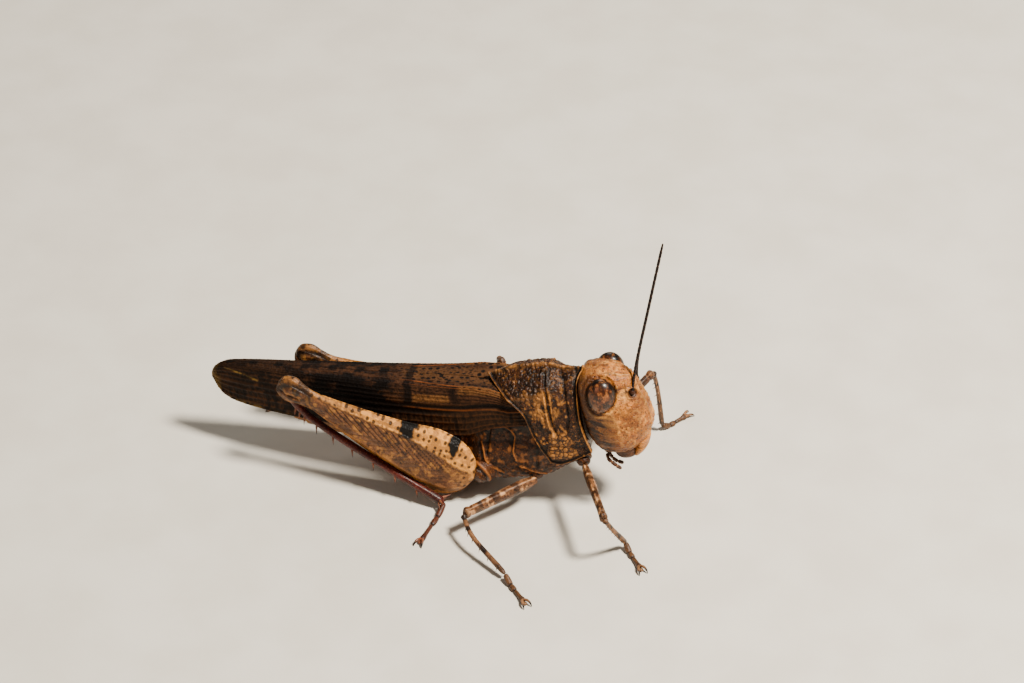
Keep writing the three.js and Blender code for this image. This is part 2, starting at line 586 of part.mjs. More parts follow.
for (const leg of LEGS) {
  for (const { name, sign } of SIDES) {
    const label = `${leg.name}_${name}`;
    const { ankle, toe } = leg[name];
    addTo(body, `coxa_${label}`, coxa(leg, sign, 0), PLEURA_BROWN);
    addTo(animal, `femur_${label}`, cut(femur(leg, sign, name, 0), onFloor(coxa(leg, sign, GAP))), LEG_BROWN);
    const foot = tarsus(vec(...ankle), vec(...toe));
    addTo(animal, `tibia_${label}`, cut(tibia(leg, sign, name, 0), femur(leg, sign, name, GAP)), LEG_BROWN);
    addTo(animal, `tarsus_${label}`, cut(foot, tibia(leg, sign, name, GAP)), LEG_BROWN);
  }
}

// ---------------------------------------------------------------- hind legs
function thigh(side, sign, grow) {
  const [hip, knee] = [mirrored(HIND_LEG.hip, sign), mirrored(HIND_LEG[side].knee, sign)];
  const bow = lerp(hip, knee, THIGH_BOW_AT).add(vec(0, sign * THIGH_BOW, 0));
  const [depth, width] = [through(THIGH_DEPTH), through(THIGH_WIDTH)];
  const otherHalf = THIGH_SECTION.slice(1).reverse().map(([across, along]) => [-across, along]);
  const outline = [...THIGH_SECTION, [0, -1], ...otherHalf];
  return onFloor(rod({ at: path(hip, bow, knee), depth, width, up: UP, steps: 15, outline, grow }));
}

function shinRoute(side, sign) {
  const fromKnee = (offset) => sideOf(HIND_LEG[side].knee.map((place, axis) => place + offset[axis]), sign);
  return path(fromKnee(SHIN_ROOT), fromKnee(SHIN_NECK), mirrored(HIND_LEG.ankle, sign));
}

function shin(side, sign, grow) {
  const thickness = through(SHIN_THICKNESS);
  const route = shinRoute(side, sign);
  return rod({ at: route, depth: thickness, width: thickness, up: UP, steps: 10, outline: oval(6), grow });
}

// One spine on the shin at t, turned round it from the underside and leaning towards the ankle.
function spine(route, t, turn, length) {
  const along = route(Math.min(t + 0.01, 1)).sub(route(t - 0.01)).normalize();
  const out = UP.clone().negate().addScaledVector(along, UP.dot(along)).normalize().applyAxisAngle(along, turn);
  const heading = out.clone().multiplyScalar(SPINE_RISE).addScaledVector(along, SPINE_LEAN).normalize();
  const cone = new THREE.ConeGeometry(SPINE_THICKNESS / 2, length, 4);
  cone.deleteAttribute('normal');
  cone.deleteAttribute('uv');
  cone.applyQuaternion(new THREE.Quaternion().setFromUnitVectors(vec(0, 1, 0), heading));
  const middle = route(t).addScaledVector(out, SPINE_SEAT).addScaledVector(heading, length / 2 - SPINE_DEPTH);
  cone.translate(middle.x, middle.y, middle.z);
  return mergeVertices(cone);
}

// Two rows of spines down the shin's lower side and four longer spurs round the ankle.
function shinSpines(side, sign) {
  const route = shinRoute(side, sign);
  const pairs = evenly(...SPINE_ROW, SPINE_PAIRS - 1).flatMap((t) => [
    spine(route, t, SPINE_TURN, SPINE_LENGTH),
    spine(route, t + SPINE_STAGGER, -SPINE_TURN, SPINE_LENGTH),
  ]);
  return [...pairs, ...SPUR_TURNS.map((turn) => spine(route, SPUR_PLACE, turn, SPUR_LENGTH))];
}

for (const { name, sign } of SIDES) {
  const [ankle, toe] = [mirrored(HIND_LEG.ankle, sign), mirrored(HIND_LEG.toe, sign)];
  const spines = shinSpines(name, sign);
  const spinedShin = join(shin(name, sign, 0), ...spines);
  const foot = cut(tarsus(ankle, toe), shin(name, sign, GAP), ...spines);
  addTo(body, `coxa_hind_${name}`, coxa(HIND_LEG, sign, 0), PLEURA_BROWN);
  addTo(animal, `femur_hind_${name}`, cut(thigh(name, sign, 0), onFloor(coxa(HIND_LEG, sign, GAP))), FEMUR_TAN);
  addTo(animal, `tibia_hind_${name}`, cut(spinedShin, thigh(name, sign, GAP)), TIBIA_RED);
  addTo(animal, `tarsus_hind_${name}`, foot, TIBIA_RED);
}

// ---------------------------------------------------------------- trunk
function trunk(stations, girth, [top, bottom, half]) {
  return loft(stations.map((x) => {
    const round = [...girth, ...girth.slice().reverse().map(([across, up]) => [-across, up])];
    return round.map(([across, up]) => vec(x, across * half(x), bottom(x) + up * (top(x) - bottom(x))));
  }));
}

const thoraxOutline = [THORAX_TOP, THORAX_BOTTOM, THORAX_HALF].map(through);
const abdomenOutline = [ABDOMEN_TOP, ABDOMEN_BOTTOM, ABDOMEN_HALF].map(through);
const sockets = SIDES.flatMap(({ name, sign }) => [
  ...[...LEGS, HIND_LEG].map((leg) => coxa(leg, sign, GAP)),
  onBody(thigh(name, sign, GAP)),
]);
const thoraxTrunk = trunk(evenly(THORAX_TOP[0][0], THORAX_TOP.at(-1)[0], 10), THORAX_GIRTH, thoraxOutline);
addTo(body, 'thorax', cut(thoraxTrunk, ...sockets), PLEURA_BROWN);

// A tapering stub from a root along its steps, turned to the side and upwards or downwards.
function stub([x, y, z], { steps, thickness, tip }, sign = 1, rise = 1) {
  const taper = through([[0, thickness], [0.5, 0.85 * thickness], [1, tip]]);
  const route = path(...steps.map(([ahead, aside, up]) => vec(x + ahead, y + sign * aside, z + rise * up)));
  return rod({ at: route, depth: taper, width: taper, up: UP, steps: 3, outline: oval(6) });
}

const cerci = SIDES.map(({ sign }) => {
  const [x, y, z] = CERCUS_ROOT;
  return stub([x, sign * y, z], CERCUS, sign);
});
const abdomenTrunk = trunk(evenly(ABDOMEN_TOP[0][0], ABDOMEN_TOP.at(-1)[0], 11), ABDOMEN_GIRTH, abdomenOutline);
addTo(body, 'abdomen', join(abdomenTrunk, ...cerci), PLEURA_BROWN);

const valves = SIDES.flatMap(({ sign }) => [1, -1].map((rise) => stub(VALVE_ROOT, VALVE, sign, rise)));
addTo(body, 'ovipositor', join(stub(VALVE_ROOT, VALVE_RING), ...valves), LEG_BROWN);

// ---------------------------------------------------------------- the origin
// Under the middle of the whole outline, on the floor.
const outline = new THREE.Box3().setFromObject(model, true);
const middle = outline.getCenter(new THREE.Vector3());
animal.position.set(-middle.x, -middle.y, -outline.min.z);

export default model;
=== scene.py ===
import math

import bpy
import numpy as np
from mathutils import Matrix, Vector


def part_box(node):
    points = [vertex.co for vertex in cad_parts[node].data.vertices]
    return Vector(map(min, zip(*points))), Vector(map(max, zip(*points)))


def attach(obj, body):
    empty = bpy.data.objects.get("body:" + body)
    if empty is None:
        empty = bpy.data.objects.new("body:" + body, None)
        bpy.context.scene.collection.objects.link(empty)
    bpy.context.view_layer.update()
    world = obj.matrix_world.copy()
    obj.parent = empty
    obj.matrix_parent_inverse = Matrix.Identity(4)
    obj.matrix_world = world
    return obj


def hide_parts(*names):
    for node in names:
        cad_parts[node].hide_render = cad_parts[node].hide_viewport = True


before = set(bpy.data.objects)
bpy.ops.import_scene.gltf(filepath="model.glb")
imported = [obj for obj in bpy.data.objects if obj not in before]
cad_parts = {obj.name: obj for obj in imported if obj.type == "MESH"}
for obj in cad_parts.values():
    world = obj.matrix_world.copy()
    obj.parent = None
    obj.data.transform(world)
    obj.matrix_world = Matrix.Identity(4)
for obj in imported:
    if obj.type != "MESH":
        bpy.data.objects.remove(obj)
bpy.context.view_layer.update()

MM = 0.001
SIDES = (("right", -1), ("left", 1))

BODY_PITCH = math.radians(10.2)
BACK_HEIGHT = 13.7
EYE_CENTRE = np.array([12.0, 2.2, -0.9])
EYE_RADII = np.array([1.32, 1.15, 1.95])
EYE_TILT = math.radians(12)


# ---------------------------------------------------------------- places
def pitched(points):
    """Body places turned head-up and lifted to the floor's axes."""
    points = np.asarray(points, float)
    x, y, z = points[..., 0], points[..., 1], points[..., 2]
    forward = x * math.cos(BODY_PITCH) - z * math.sin(BODY_PITCH)
    height = x * math.sin(BODY_PITCH) + z * math.cos(BODY_PITCH) + BACK_HEIGHT
    return np.stack([forward, y, height], axis=-1)


def middle_of(node):
    low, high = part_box(node)
    return np.array((low + high) / 2) / MM


EYES_MIDDLE = (middle_of("eye_right") + middle_of("eye_left")) / 2
SHIFT = EYES_MIDDLE - pitched(EYE_CENTRE * [1, 0, 1])


def on_body(points):
    return pitched(points) + SHIFT


def on_floor(points):
    return np.asarray(points, float) + SHIFT


# ---------------------------------------------------------------- curves
def through(stations):
    """A smooth function through (x, value) stations that never overshoots them."""
    xs, ys = np.array(stations, float).T
    steps = np.diff(xs)
    slopes = np.diff(ys) / steps
    product, total = slopes[:-1] * slopes[1:], slopes[:-1] + slopes[1:]
    inner = np.where(product > 0, 2 * product / np.where(total == 0, 1, total), 0)
    tangents = np.concatenate([slopes[:1], inner, slopes[-1:]])

    def value(x):
        x = np.clip(x, xs[0], xs[-1])
        i = np.clip(np.searchsorted(xs, x, side="right") - 1, 0, len(steps) - 1)
        t = (x - xs[i]) / steps[i]
        start = (1 + 2 * t) * (1 - t) ** 2 * ys[i] + t * (1 - t) ** 2 * steps[i] * tangents[i]
        end = t * t * (3 - 2 * t) * ys[i + 1] + t * t * (t - 1) * steps[i] * tangents[i + 1]
        return start + end

    return value


def path(*joints):
    """A smooth path through joints, as a function of t from 0 to 1."""
    joints = np.array(joints, float)
    ends = np.vstack([2 * joints[0] - joints[1], joints, 2 * joints[-1] - joints[-2]])
    pull = [np.linalg.norm(b - a) ** 0.5 for a, b in zip(ends, ends[1:])]
    spans = len(joints) - 1

    def tangent(i, side):
        before, after = pull[i - 1], pull[i]
        a, b, c = ends[i - 1], ends[i], ends[i + 1]
        slope = (b - a) / before - (c - a) / (before + after) + (c - b) / after
        return slope * (after if side > 0 else before)

    def point(t):
        t = np.clip(np.asarray(t, float), 0, 1) * spans
        i = np.minimum(t.astype(int), spans - 1)
        u = (t - i)[..., None]
        leaving = np.array([tangent(k + 1, 1) for k in range(spans)])[i]
        arriving = np.array([tangent(k + 2, -1) for k in range(spans)])[i]
        a, b = joints[i], joints[i + 1]
        even = (2 * u**3 - 3 * u**2 + 1) * a + (3 * u**2 - 2 * u**3) * b
        return even + (u**3 - 2 * u**2 + u) * leaving + (u**3 - u**2) * arriving

    return point


def straight(a, b):
    a, b = np.array(a, float), np.array(b, float)
    return lambda t: a + np.asarray(t, float)[..., None] * (b - a)


def unit(vectors):
    return vectors / np.maximum(np.linalg.norm(vectors, axis=-1, keepdims=True), 1e-12)


def smooth(value, low, high):
    t = np.clip((value - low) / (high - low), 0, 1)
    return t * t * (3 - 2 * t)


def ridge(distance, width):
    return np.exp(-((distance / width) ** 2))


def to_line(points, *joints):
    """Distance from points to a polyline of any dimension."""
    nearest = np.full(points.shape[:-1], np.inf)
    joints = np.array(joints, float)
    for a, b in zip(joints, joints[1:]):
        span = b - a
        share = np.clip(((points - a) @ span) / (span @ span), 0, 1)
        nearest = np.minimum(nearest, np.linalg.norm(points - a - share[..., None] * span, axis=-1))
    return nearest


# ---------------------------------------------------------------- seeded randomness
def scatter(cells, seed):
    """A repeatable number from 0 to 1 for each whole-number cell."""
    weights = np.array([127.1, 311.7, 74.7])[: cells.shape[-1]]
    value = np.sin(cells @ weights + seed * 17.31) * 43758.5453
    return value - np.floor(value)


def noise(points, size, seed=0, octaves=1):
    """Smooth noise from 0 to 1 with features of the given size."""
    total, weight = 0, 0
    for octave in range(octaves):
        scaled = points / (size / 2**octave)
        cell = np.floor(scaled)
        share = scaled - cell
        share = share * share * (3 - 2 * share)
        value = 0
        for corner in np.ndindex(*(2,) * points.shape[-1]):
            near = np.prod(np.where(np.array(corner) == 1, share, 1 - share), axis=-1)
            value = value + near * scatter(cell + corner, seed + octave)
        total = total + value / 2**octave
        weight += 1 / 2**octave
    return total / weight


def nearest_cell(points, size, seed=0, jitter=0.8):
    """Distances to the nearest and the next of points strewn one to a cell, in cells."""
    scaled = points / size
    cell = np.floor(scaled)
    first = np.full(points.shape[:-1], 9.0)
    second = first.copy()
    for corner in np.ndindex(*(3,) * points.shape[-1]):
        home = cell + np.array(corner) - 1
        spot = np.stack([scatter(home, seed + axis + 1) for axis in range(points.shape[-1])], axis=-1)
        away = np.linalg.norm(scaled - home - 0.5 - jitter * (spot - 0.5), axis=-1)
        second = np.minimum(second, np.maximum(first, away))
        first = np.minimum(first, away)
    return first, second


# ---------------------------------------------------------------- meshes
class Shape:
    """Collects grids of points and writes them as one mesh with named marks for the paint."""

    def __init__(self):
        self.points, self.corners, self.sizes, self.marks, self.count = [], [], [], [], 0

    def add(self, points, faces, marks):
        points = points.reshape(-1, 3)
        for face in faces:
            self.corners.append((face + self.count).ravel())
            self.sizes.append(np.full(len(face), face.shape[1]))
        self.points.append(points)
        self.marks.append((len(points), {name: np.ravel(value) for name, value in marks.items()}))
        self.count += len(points)

    def rings(self, grid, **marks):
        """Skins rings of points (rings, round, 3) and closes both ends with fans."""
        rows, columns = grid.shape[:2]
        index = np.arange(rows * columns).reshape(rows, columns)
        following = np.roll(index, -1, axis=1)
        quads = np.stack([index[:-1], following[:-1], following[1:], index[1:]], axis=-1).reshape(-1, 4)
        ends = [grid[0].mean(0), grid[-1].mean(0)]
        count = rows * columns
        first = np.stack([following[0], index[0], np.full(columns, count)], axis=-1)
        last = np.stack([index[-1], following[-1], np.full(columns, count + 1)], axis=-1)
        full = {}
        for name, value in marks.items():
            value = np.broadcast_to(value, (rows, columns))
            full[name] = np.concatenate([value.ravel(), [value[0].mean(), value[-1].mean()]])
        self.add(np.vstack([grid.reshape(-1, 3), ends]), [quads, first, last], full)

    def plate(self, outer, inner, **marks):
        """Closes two open grids of points (rows, columns, 3) into a plate."""
        rows, columns = outer.shape[:2]
        top = np.arange(rows * columns).reshape(rows, columns)
        under = top + rows * columns
        face = np.stack([top[:-1, :-1], top[1:, :-1], top[1:, 1:], top[:-1, 1:]], axis=-1).reshape(-1, 4)
        edge = np.concatenate([top[0, :], top[1:, -1], top[-1, -2::-1], top[-2:0:-1, 0]])
        after = np.roll(edge, -1)
        rim = np.stack([edge, after, after + rows * columns, edge + rows * columns], axis=-1)
        full = {name: np.tile(np.broadcast_to(value, (rows, columns)).ravel(), 2) for name, value in marks.items()}
        self.add(np.vstack([outer.reshape(-1, 3), inner.reshape(-1, 3)]), [face, face[:, ::-1] + rows * columns, rim], full)

    def build(self, name, paint, slot, *nodes):
        mesh = bpy.data.meshes.new(name)
        points = np.concatenate(self.points) * MM
        corners, sizes = np.concatenate(self.corners), np.concatenate(self.sizes)
        mesh.vertices.add(len(points))
        mesh.vertices.foreach_set("co", points.astype(np.float32).ravel())
        mesh.loops.add(len(corners))
        mesh.loops.foreach_set("vertex_index", corners.astype(np.int32))
        mesh.polygons.add(len(sizes))
        mesh.polygons.foreach_set("loop_start", (np.cumsum(sizes) - sizes).astype(np.int32))
        mesh.polygons.foreach_set("loop_total", sizes.astype(np.int32))
        mesh.polygons.foreach_set("use_smooth", np.ones(len(sizes), bool))
        for mark in sorted({key for _, marks in self.marks for key in marks}):
            values = [marks.get(mark, np.zeros(count)) for count, marks in self.marks]
            layer = mesh.attributes.new(mark, "FLOAT", "POINT")
            layer.data.foreach_set("value", np.concatenate(values).astype(np.float32))
        mesh.update(calc_edges=True)
        outward(mesh)
        piece = bpy.data.objects.new(name, mesh)
        bpy.context.scene.collection.objects.link(piece)
        mesh.materials.append(paint)
        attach(piece, "root")
        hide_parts(*nodes)
        return piece


def outward(mesh):
    """Turns a closed mesh's faces outward, each connected shell by its own volume."""
    import bmesh
    work = bmesh.new()
    work.from_mesh(mesh)
    bmesh.ops.recalc_face_normals(work, faces=work.faces)
    work.to_mesh(mesh)
    work.free()


def normals(grid, closed=True, facing=1):
    """Unit normals of a grid of points; `closed` when its second way runs round."""
    along = np.gradient(grid, axis=0)
    if closed:
        across = np.roll(grid, -1, axis=1) - np.roll(grid, 1, axis=1)
    else:
        across = np.gradient(grid, axis=1)
    return unit(np.cross(along, across)) * facing


def outward_normals(grid):
    """Normals of closed rings, away from each ring's middle."""
    found = normals(grid)
    middle = grid.mean(axis=1, keepdims=True)
    return found * np.sign(np.sum(found * (grid - middle)))


def rod(route, width, depth, up, rows, sides, outline=None, ends=(0.0, 0.0)):
    """Rings of a rod along route(t). Width is measured across `up` and depth along it. The places
    at both ends are rounded over the given lengths. Gives the rings, t and the angle from up."""
    t = np.linspace(0, 1, rows)
    for side, reach in enumerate(ends):
        if reach:
            arc = (1 - np.cos(np.linspace(0, np.pi / 2, 7))) * reach
            t = np.union1d(t, arc if side == 0 else 1 - arc)
    rows = len(t)
    nudge = 1e-3
    tangent = unit(route(np.minimum(t + nudge, 1)) - route(np.maximum(t - nudge, 0)))
    up = np.asarray(up, float)
    high = unit(up - tangent * (tangent @ up)[:, None])
    side = np.cross(tangent, high)
    angle = (np.arange(sides) / sides) * 2 * np.pi
    across, along = (np.sin(angle), np.cos(angle)) if outline is None else outline(angle)
    dome = np.ones(rows)
    if ends[0]:
        dome *= np.sqrt(np.clip(1 - np.clip(1 - t / ends[0], 0, 1) ** 2, 0.0004, 1))
    if ends[1]:
        dome *= np.sqrt(np.clip(1 - np.clip(1 - (1 - t) / ends[1], 0, 1) ** 2, 0.0004, 1))
    wide = (width(t) * dome / 2)[:, None, None] * across[None, :, None] * side[:, None]
    deep = (depth(t) * dome / 2)[:, None, None] * along[None, :, None] * high[:, None]
    return route(t)[:, None] + wide + deep, t[:, None] + 0 * angle, angle + 0 * t[:, None]


# ---------------------------------------------------------------- paints
def tone(red, green, blue):
    """A linear colour from screen values of 0 to 255."""
    values = [value / 255 for value in (red, green, blue)]
    return (*(v / 12.92 if v <= 0.04045 else ((v + 0.055) / 1.055) ** 2.4 for v in values), 1)


class Paint:
    """One procedural material: each method adds a node and gives its output."""

    def __init__(self, name):
        self.material = bpy.data.materials.new(name)
        self.material.use_nodes = True
        self.tree = self.material.node_tree
        self.tree.nodes.clear()
        self.place = self.add("ShaderNodeTexCoord").outputs["Object"]

    def add(self, kind, inputs=None, **settings):
        node = self.tree.nodes.new(kind)
        for key, value in settings.items():
            setattr(node, key, value)
        for key, value in (inputs or {}).items():
            self.feed(node.inputs[key], value)
        return node

    def feed(self, socket, value):
        if isinstance(value, bpy.types.NodeSocket):
            self.tree.links.new(value, socket)
        else:
            socket.default_value = value

    def mark(self, name):
        return self.add("ShaderNodeAttribute", attribute_name=name).outputs["Fac"]

    def math(self, operation, first, second=0.0):
        return self.add("ShaderNodeMath", {0: first, 1: second}, operation=operation).outputs[0]

    def span(self, value, low, high):
        inputs = {"Value": value, "From Min": low, "From Max": high}
        return self.add("ShaderNodeMapRange", inputs, interpolation_type="SMOOTHSTEP").outputs["Result"]

    def noise(self, size, detail=2.0, lumps=0.5):
        inputs = {"Vector": self.place, "Scale": 1 / (size * MM), "Detail": detail, "Roughness": lumps}
        return self.add("ShaderNodeTexNoise", inputs).outputs["Fac"]

    def spots(self, size, feature="F1"):
        inputs = {"Vector": self.place, "Scale": 1 / (size * MM)}
        return self.add("ShaderNodeTexVoronoi", inputs, feature=feature).outputs["Distance"]

    def blend(self, share, first, second, mode="MIX"):
        node = self.add("ShaderNodeMix", data_type="RGBA", blend_type=mode)
        for socket, value in ((node.inputs[0], share), (node.inputs[6], first), (node.inputs[7], second)):
            self.feed(socket, value)
        return node.outputs[2]

    def bump(self, height, depth, under=None):
        """Raises the surface by `depth` millimetres where height is 1."""
        inputs = {"Height": height, "Distance": depth * MM, "Strength": 1.0}
        if under is not None:
            inputs["Normal"] = under
        return self.add("ShaderNodeBump", inputs).outputs["Normal"]

    def finish(self, color, roughness, normal, **shader):
        inputs = {"Base Color": color, "Roughness": roughness, "Normal": normal, **shader}
        surface = self.add("ShaderNodeBsdfPrincipled", inputs).outputs["BSDF"]
        self.feed(self.add("ShaderNodeOutputMaterial").inputs["Surface"], surface)
        return self.material


def cuticle(name, main, second, dark, pale, speck=0.32, speckled=0.35, patch=1.6, gloss=0.46, grain=0.012,
            mottle=0.5, sheen=0.3):
    """Horny skin: two tones in patches, clouded and specked with dark, and the marks `dark` and `pale`."""
    paint = Paint(name)
    color = paint.blend(paint.span(paint.noise(patch, 4, 0.6), 0.4, 0.6), main, second)
    clouds = paint.span(paint.noise(patch * 0.35, 5, 0.65), 0.48, 0.72)
    color = paint.blend(paint.math("MULTIPLY", clouds, mottle), color, dark)
    grains = paint.math("SUBTRACT", 1.0, paint.span(paint.spots(0.19), 0.15, 0.4))
    color = paint.blend(paint.math("MULTIPLY", grains, 0.22), color, pale)
    crowd = paint.span(paint.noise(patch * 0.8, 2), 0.68 - speckled, 0.95 - speckled)
    dots = paint.math("SUBTRACT", 1.0, paint.span(paint.spots(speck), 0.16, 0.32))
    color = paint.blend(paint.math("MULTIPLY", dots, crowd), color, dark)
    # On some pieces these marks carry painted light: painted shade in `dark` on the head and the thorax sides, and
    # painted highlights in `pale` along the thorax ridges.
    color = paint.blend(paint.mark("pale"), color, pale)
    color = paint.blend(paint.mark("dark"), color, dark)
    rough = paint.math("ADD", paint.math("MULTIPLY", paint.noise(0.5, 2), 0.3), gloss - 0.15)
    normal = paint.bump(paint.noise(0.16, 3, 0.65), grain * 2)
    normal = paint.bump(paint.span(paint.spots(0.24), 0.1, 0.5), grain, normal)
    return paint.finish(color, rough, normal, **{"Specular IOR Level": sheen})


FACE = cuticle("face_cuticle", tone(190, 114, 40), tone(150, 82, 26), tone(34, 14, 5), tone(236, 168, 84),
               speck=0.26, speckled=0.45, patch=0.9, gloss=0.42, mottle=0.55, grain=0.03)
SHIELD = cuticle("shield_cuticle", tone(56, 28, 11), tone(34, 16, 6), tone(8, 4, 2), tone(184, 120, 54),
                 speck=0.36, speckled=0.5, patch=1.0, grain=0.022, mottle=0.75, sheen=0.22)
PLEURA = cuticle("side_cuticle", tone(74, 39, 15), tone(46, 23, 9), tone(12, 6, 3), tone(182, 110, 50),
                 speck=0.5, speckled=0.5, patch=0.8, gloss=0.4, grain=0.02, mottle=0.75, sheen=0.22)
BELLY = cuticle("belly_cuticle", tone(122, 78, 36), tone(92, 54, 24), tone(28, 14, 8), tone(182, 132, 72),
                speck=0.4, speckled=0.35)
LEG = cuticle("leg_cuticle", tone(118, 74, 43), tone(74, 41, 23), tone(15, 8, 5), tone(204, 150, 102),
              speck=0.38, speckled=0.5, patch=0.7, gloss=0.4, grain=0.02, mottle=0.85, sheen=0.26)
THIGH = cuticle("thigh_cuticle", tone(124, 78, 46), tone(92, 54, 31), tone(9, 5, 3), tone(226, 152, 68),
                speck=0.6, speckled=0.2, patch=0.9, gloss=0.42, grain=0.02, mottle=0.5, sheen=0.24)
SHIN = cuticle("shin_cuticle", tone(76, 16, 9), tone(52, 10, 7), tone(12, 5, 4), tone(196, 128, 88),
               speck=0.3, speckled=0.12, gloss=0.36)
FEELER = cuticle("feeler_cuticle", tone(20, 9, 5), tone(14, 6, 4), tone(6, 3, 2), tone(74, 38, 18),
                 speck=0.2, speckled=0.1, gloss=0.46, sheen=0.2)
MOUTH = cuticle("mouth_cuticle", tone(78, 42, 20), tone(58, 30, 14), tone(20, 10, 6), tone(160, 104, 60),
                speck=0.3, speckled=0.3)


def eye_paint():
    paint = Paint("eye_lens")
    color = paint.blend(paint.span(paint.noise(0.8, 3), 0.4, 0.62), tone(84, 42, 18), tone(44, 20, 9))
    flecks = paint.span(paint.noise(0.3, 3, 0.7), 0.5, 0.62)
    color = paint.blend(paint.math("MULTIPLY", flecks, 0.75), color, tone(146, 84, 42))
    # The `dark` mark holds the eye's stripes and its painted shade at the rim and lower back.
    color = paint.blend(paint.mark("dark"), color, tone(12, 6, 4))
    color = paint.blend(paint.mark("pale"), color, tone(172, 108, 56))
    facets = paint.bump(paint.spots(0.07), 0.004)
    inputs = {"Coat Weight": 0.22, "Coat Roughness": 0.14, "Specular IOR Level": 0.25}
    return paint.finish(color, 0.36, facets, **inputs)


def wing_paint():
    """Leathery wing: brown tones with dark specks and blotches, painted shadow in the furrow by the radial vein, raised
    veins and a smoky tip.
    """
    paint = Paint("wing_leather")
    color = paint.blend(paint.span(paint.noise(1.1, 4, 0.6), 0.4, 0.6), tone(58, 35, 20), tone(37, 21, 11))
    color = paint.blend(paint.mark("olive"), color, tone(34, 20, 9))
    color = paint.blend(paint.mark("tan"), color, tone(116, 76, 38))
    color = paint.blend(paint.mark("tip"), color, tone(21, 11, 4))
    color = paint.blend(paint.mark("vein"), color, tone(72, 42, 20))
    color = paint.blend(paint.mark("edge"), color, tone(128, 98, 46))
    shade = paint.math("MULTIPLY", paint.span(paint.noise(0.3, 4, 0.65), 0.46, 0.72), 0.65)
    color = paint.blend(shade, color, tone(20, 11, 7))
    color = paint.blend(paint.mark("speck"), color, tone(10, 5, 3))
    # The blotch mark holds the dark band, bars and patches and also the painted shadow in the furrow by the radial
    # vein.
    color = paint.blend(paint.mark("blotch"), color, tone(4, 2, 1))
    color = paint.blend(paint.mark("bright"), color, tone(146, 78, 33))
    rough = paint.math("ADD", paint.math("MULTIPLY", paint.noise(0.4, 2), 0.25), 0.46)
    normal = paint.bump(paint.noise(0.14, 3, 0.6), 0.014)
    return paint.finish(color, rough, normal, **{"Specular IOR Level": 0.1})


def membrane_paint():
    paint = Paint("hindwing_membrane")
    color = paint.blend(paint.span(paint.noise(1.8, 2), 0.4, 0.65), tone(150, 122, 76), tone(112, 84, 50))
    color = paint.blend(paint.mark("vein"), color, tone(52, 32, 20))
    return paint.finish(color, 0.36, paint.bump(paint.noise(0.2, 2), 0.01), **{"Specular IOR Level": 0.4})


EYE, WING, MEMBRANE = eye_paint(), wing_paint(), membrane_paint()

# ---------------------------------------------------------------- head
# Capsule from the crown down to the mouth: z, back, front, half width and how much the front narrows.
HEAD_LEVELS = [
    [1.3, 11.75, 11.9, 0.08, 0], [1.25, 11.1, 12.5, 0.6, 0], [0.95, 10.1, 13.7, 1.5, 0.2],
    [0.4, 9.7, 14.8, 2.1, 0.4], [-0.2, 9.6, 15.2, 2.45, 0.45], [-1.4, 9.6, 15.5, 2.7, 0.3],
    [-3, 9.7, 16.0, 2.95, 0.15], [-5, 9.9, 16.3, 3.0, 0.12], [-6.6, 10.2, 15.9, 2.75, 0.12],
    [-7.7, 10.7, 15.2, 2.3, 0.1], [-8.3, 11.2, 14.5, 1.9, 0.1],
]
ANTENNA_ROOT = [14.85, 1.12, -1.3]


EYE_FULLNESS = np.array([1.16, 1.13, 1.03])


def eye_distance(places, sign=1):
    """How far places lie from an eye's middle, in its own radii."""
    away = places - EYE_CENTRE * [1, sign, 1]
    x = away[..., 0] * math.cos(EYE_TILT) - away[..., 2] * math.sin(EYE_TILT)
    z = away[..., 0] * math.sin(EYE_TILT) + away[..., 2] * math.cos(EYE_TILT)
    return np.sqrt((x / EYE_RADII[0]) ** 2 + (away[..., 1] / EYE_RADII[1]) ** 2 + (z / EYE_RADII[2]) ** 2)


def head_surface():
    """The bare capsule as rings, with the front at angle 0."""
    back, front, half, narrow = (through([(-row[0], row[k]) for row in HEAD_LEVELS]) for k in range(1, 5))
    share = np.linspace(0, 1, 190)
    depth = -1.3 + 9.6 * (0.75 * share + 0.25 * share**2 * (3 - 2 * share))
    depth = np.concatenate([-1.3 + (depth[4] + 1.3) * np.linspace(0, 1, 12)[:-1] ** 2, depth[4:]])
    angle = np.linspace(0, 2 * np.pi, 220, endpoint=False)
    sine, cosine = np.sin(angle)[None], np.cos(angle)[None]
    blunt = np.where(cosine < 0, 0.32, 0.9)
    ahead = np.sign(cosine) * np.abs(cosine) ** blunt
    aside = np.sign(sine) * np.abs(sine) ** blunt
    reach = ((front(depth) - back(depth)) / 2)[:, None]
    middle = ((front(depth) + back(depth)) / 2)[:, None]
    wide = half(depth)[:, None] * (1 - narrow(depth)[:, None] * np.maximum(ahead, 0))
    return np.stack([middle + reach * ahead, wide * aside, -depth[:, None] + 0 * ahead], axis=-1)


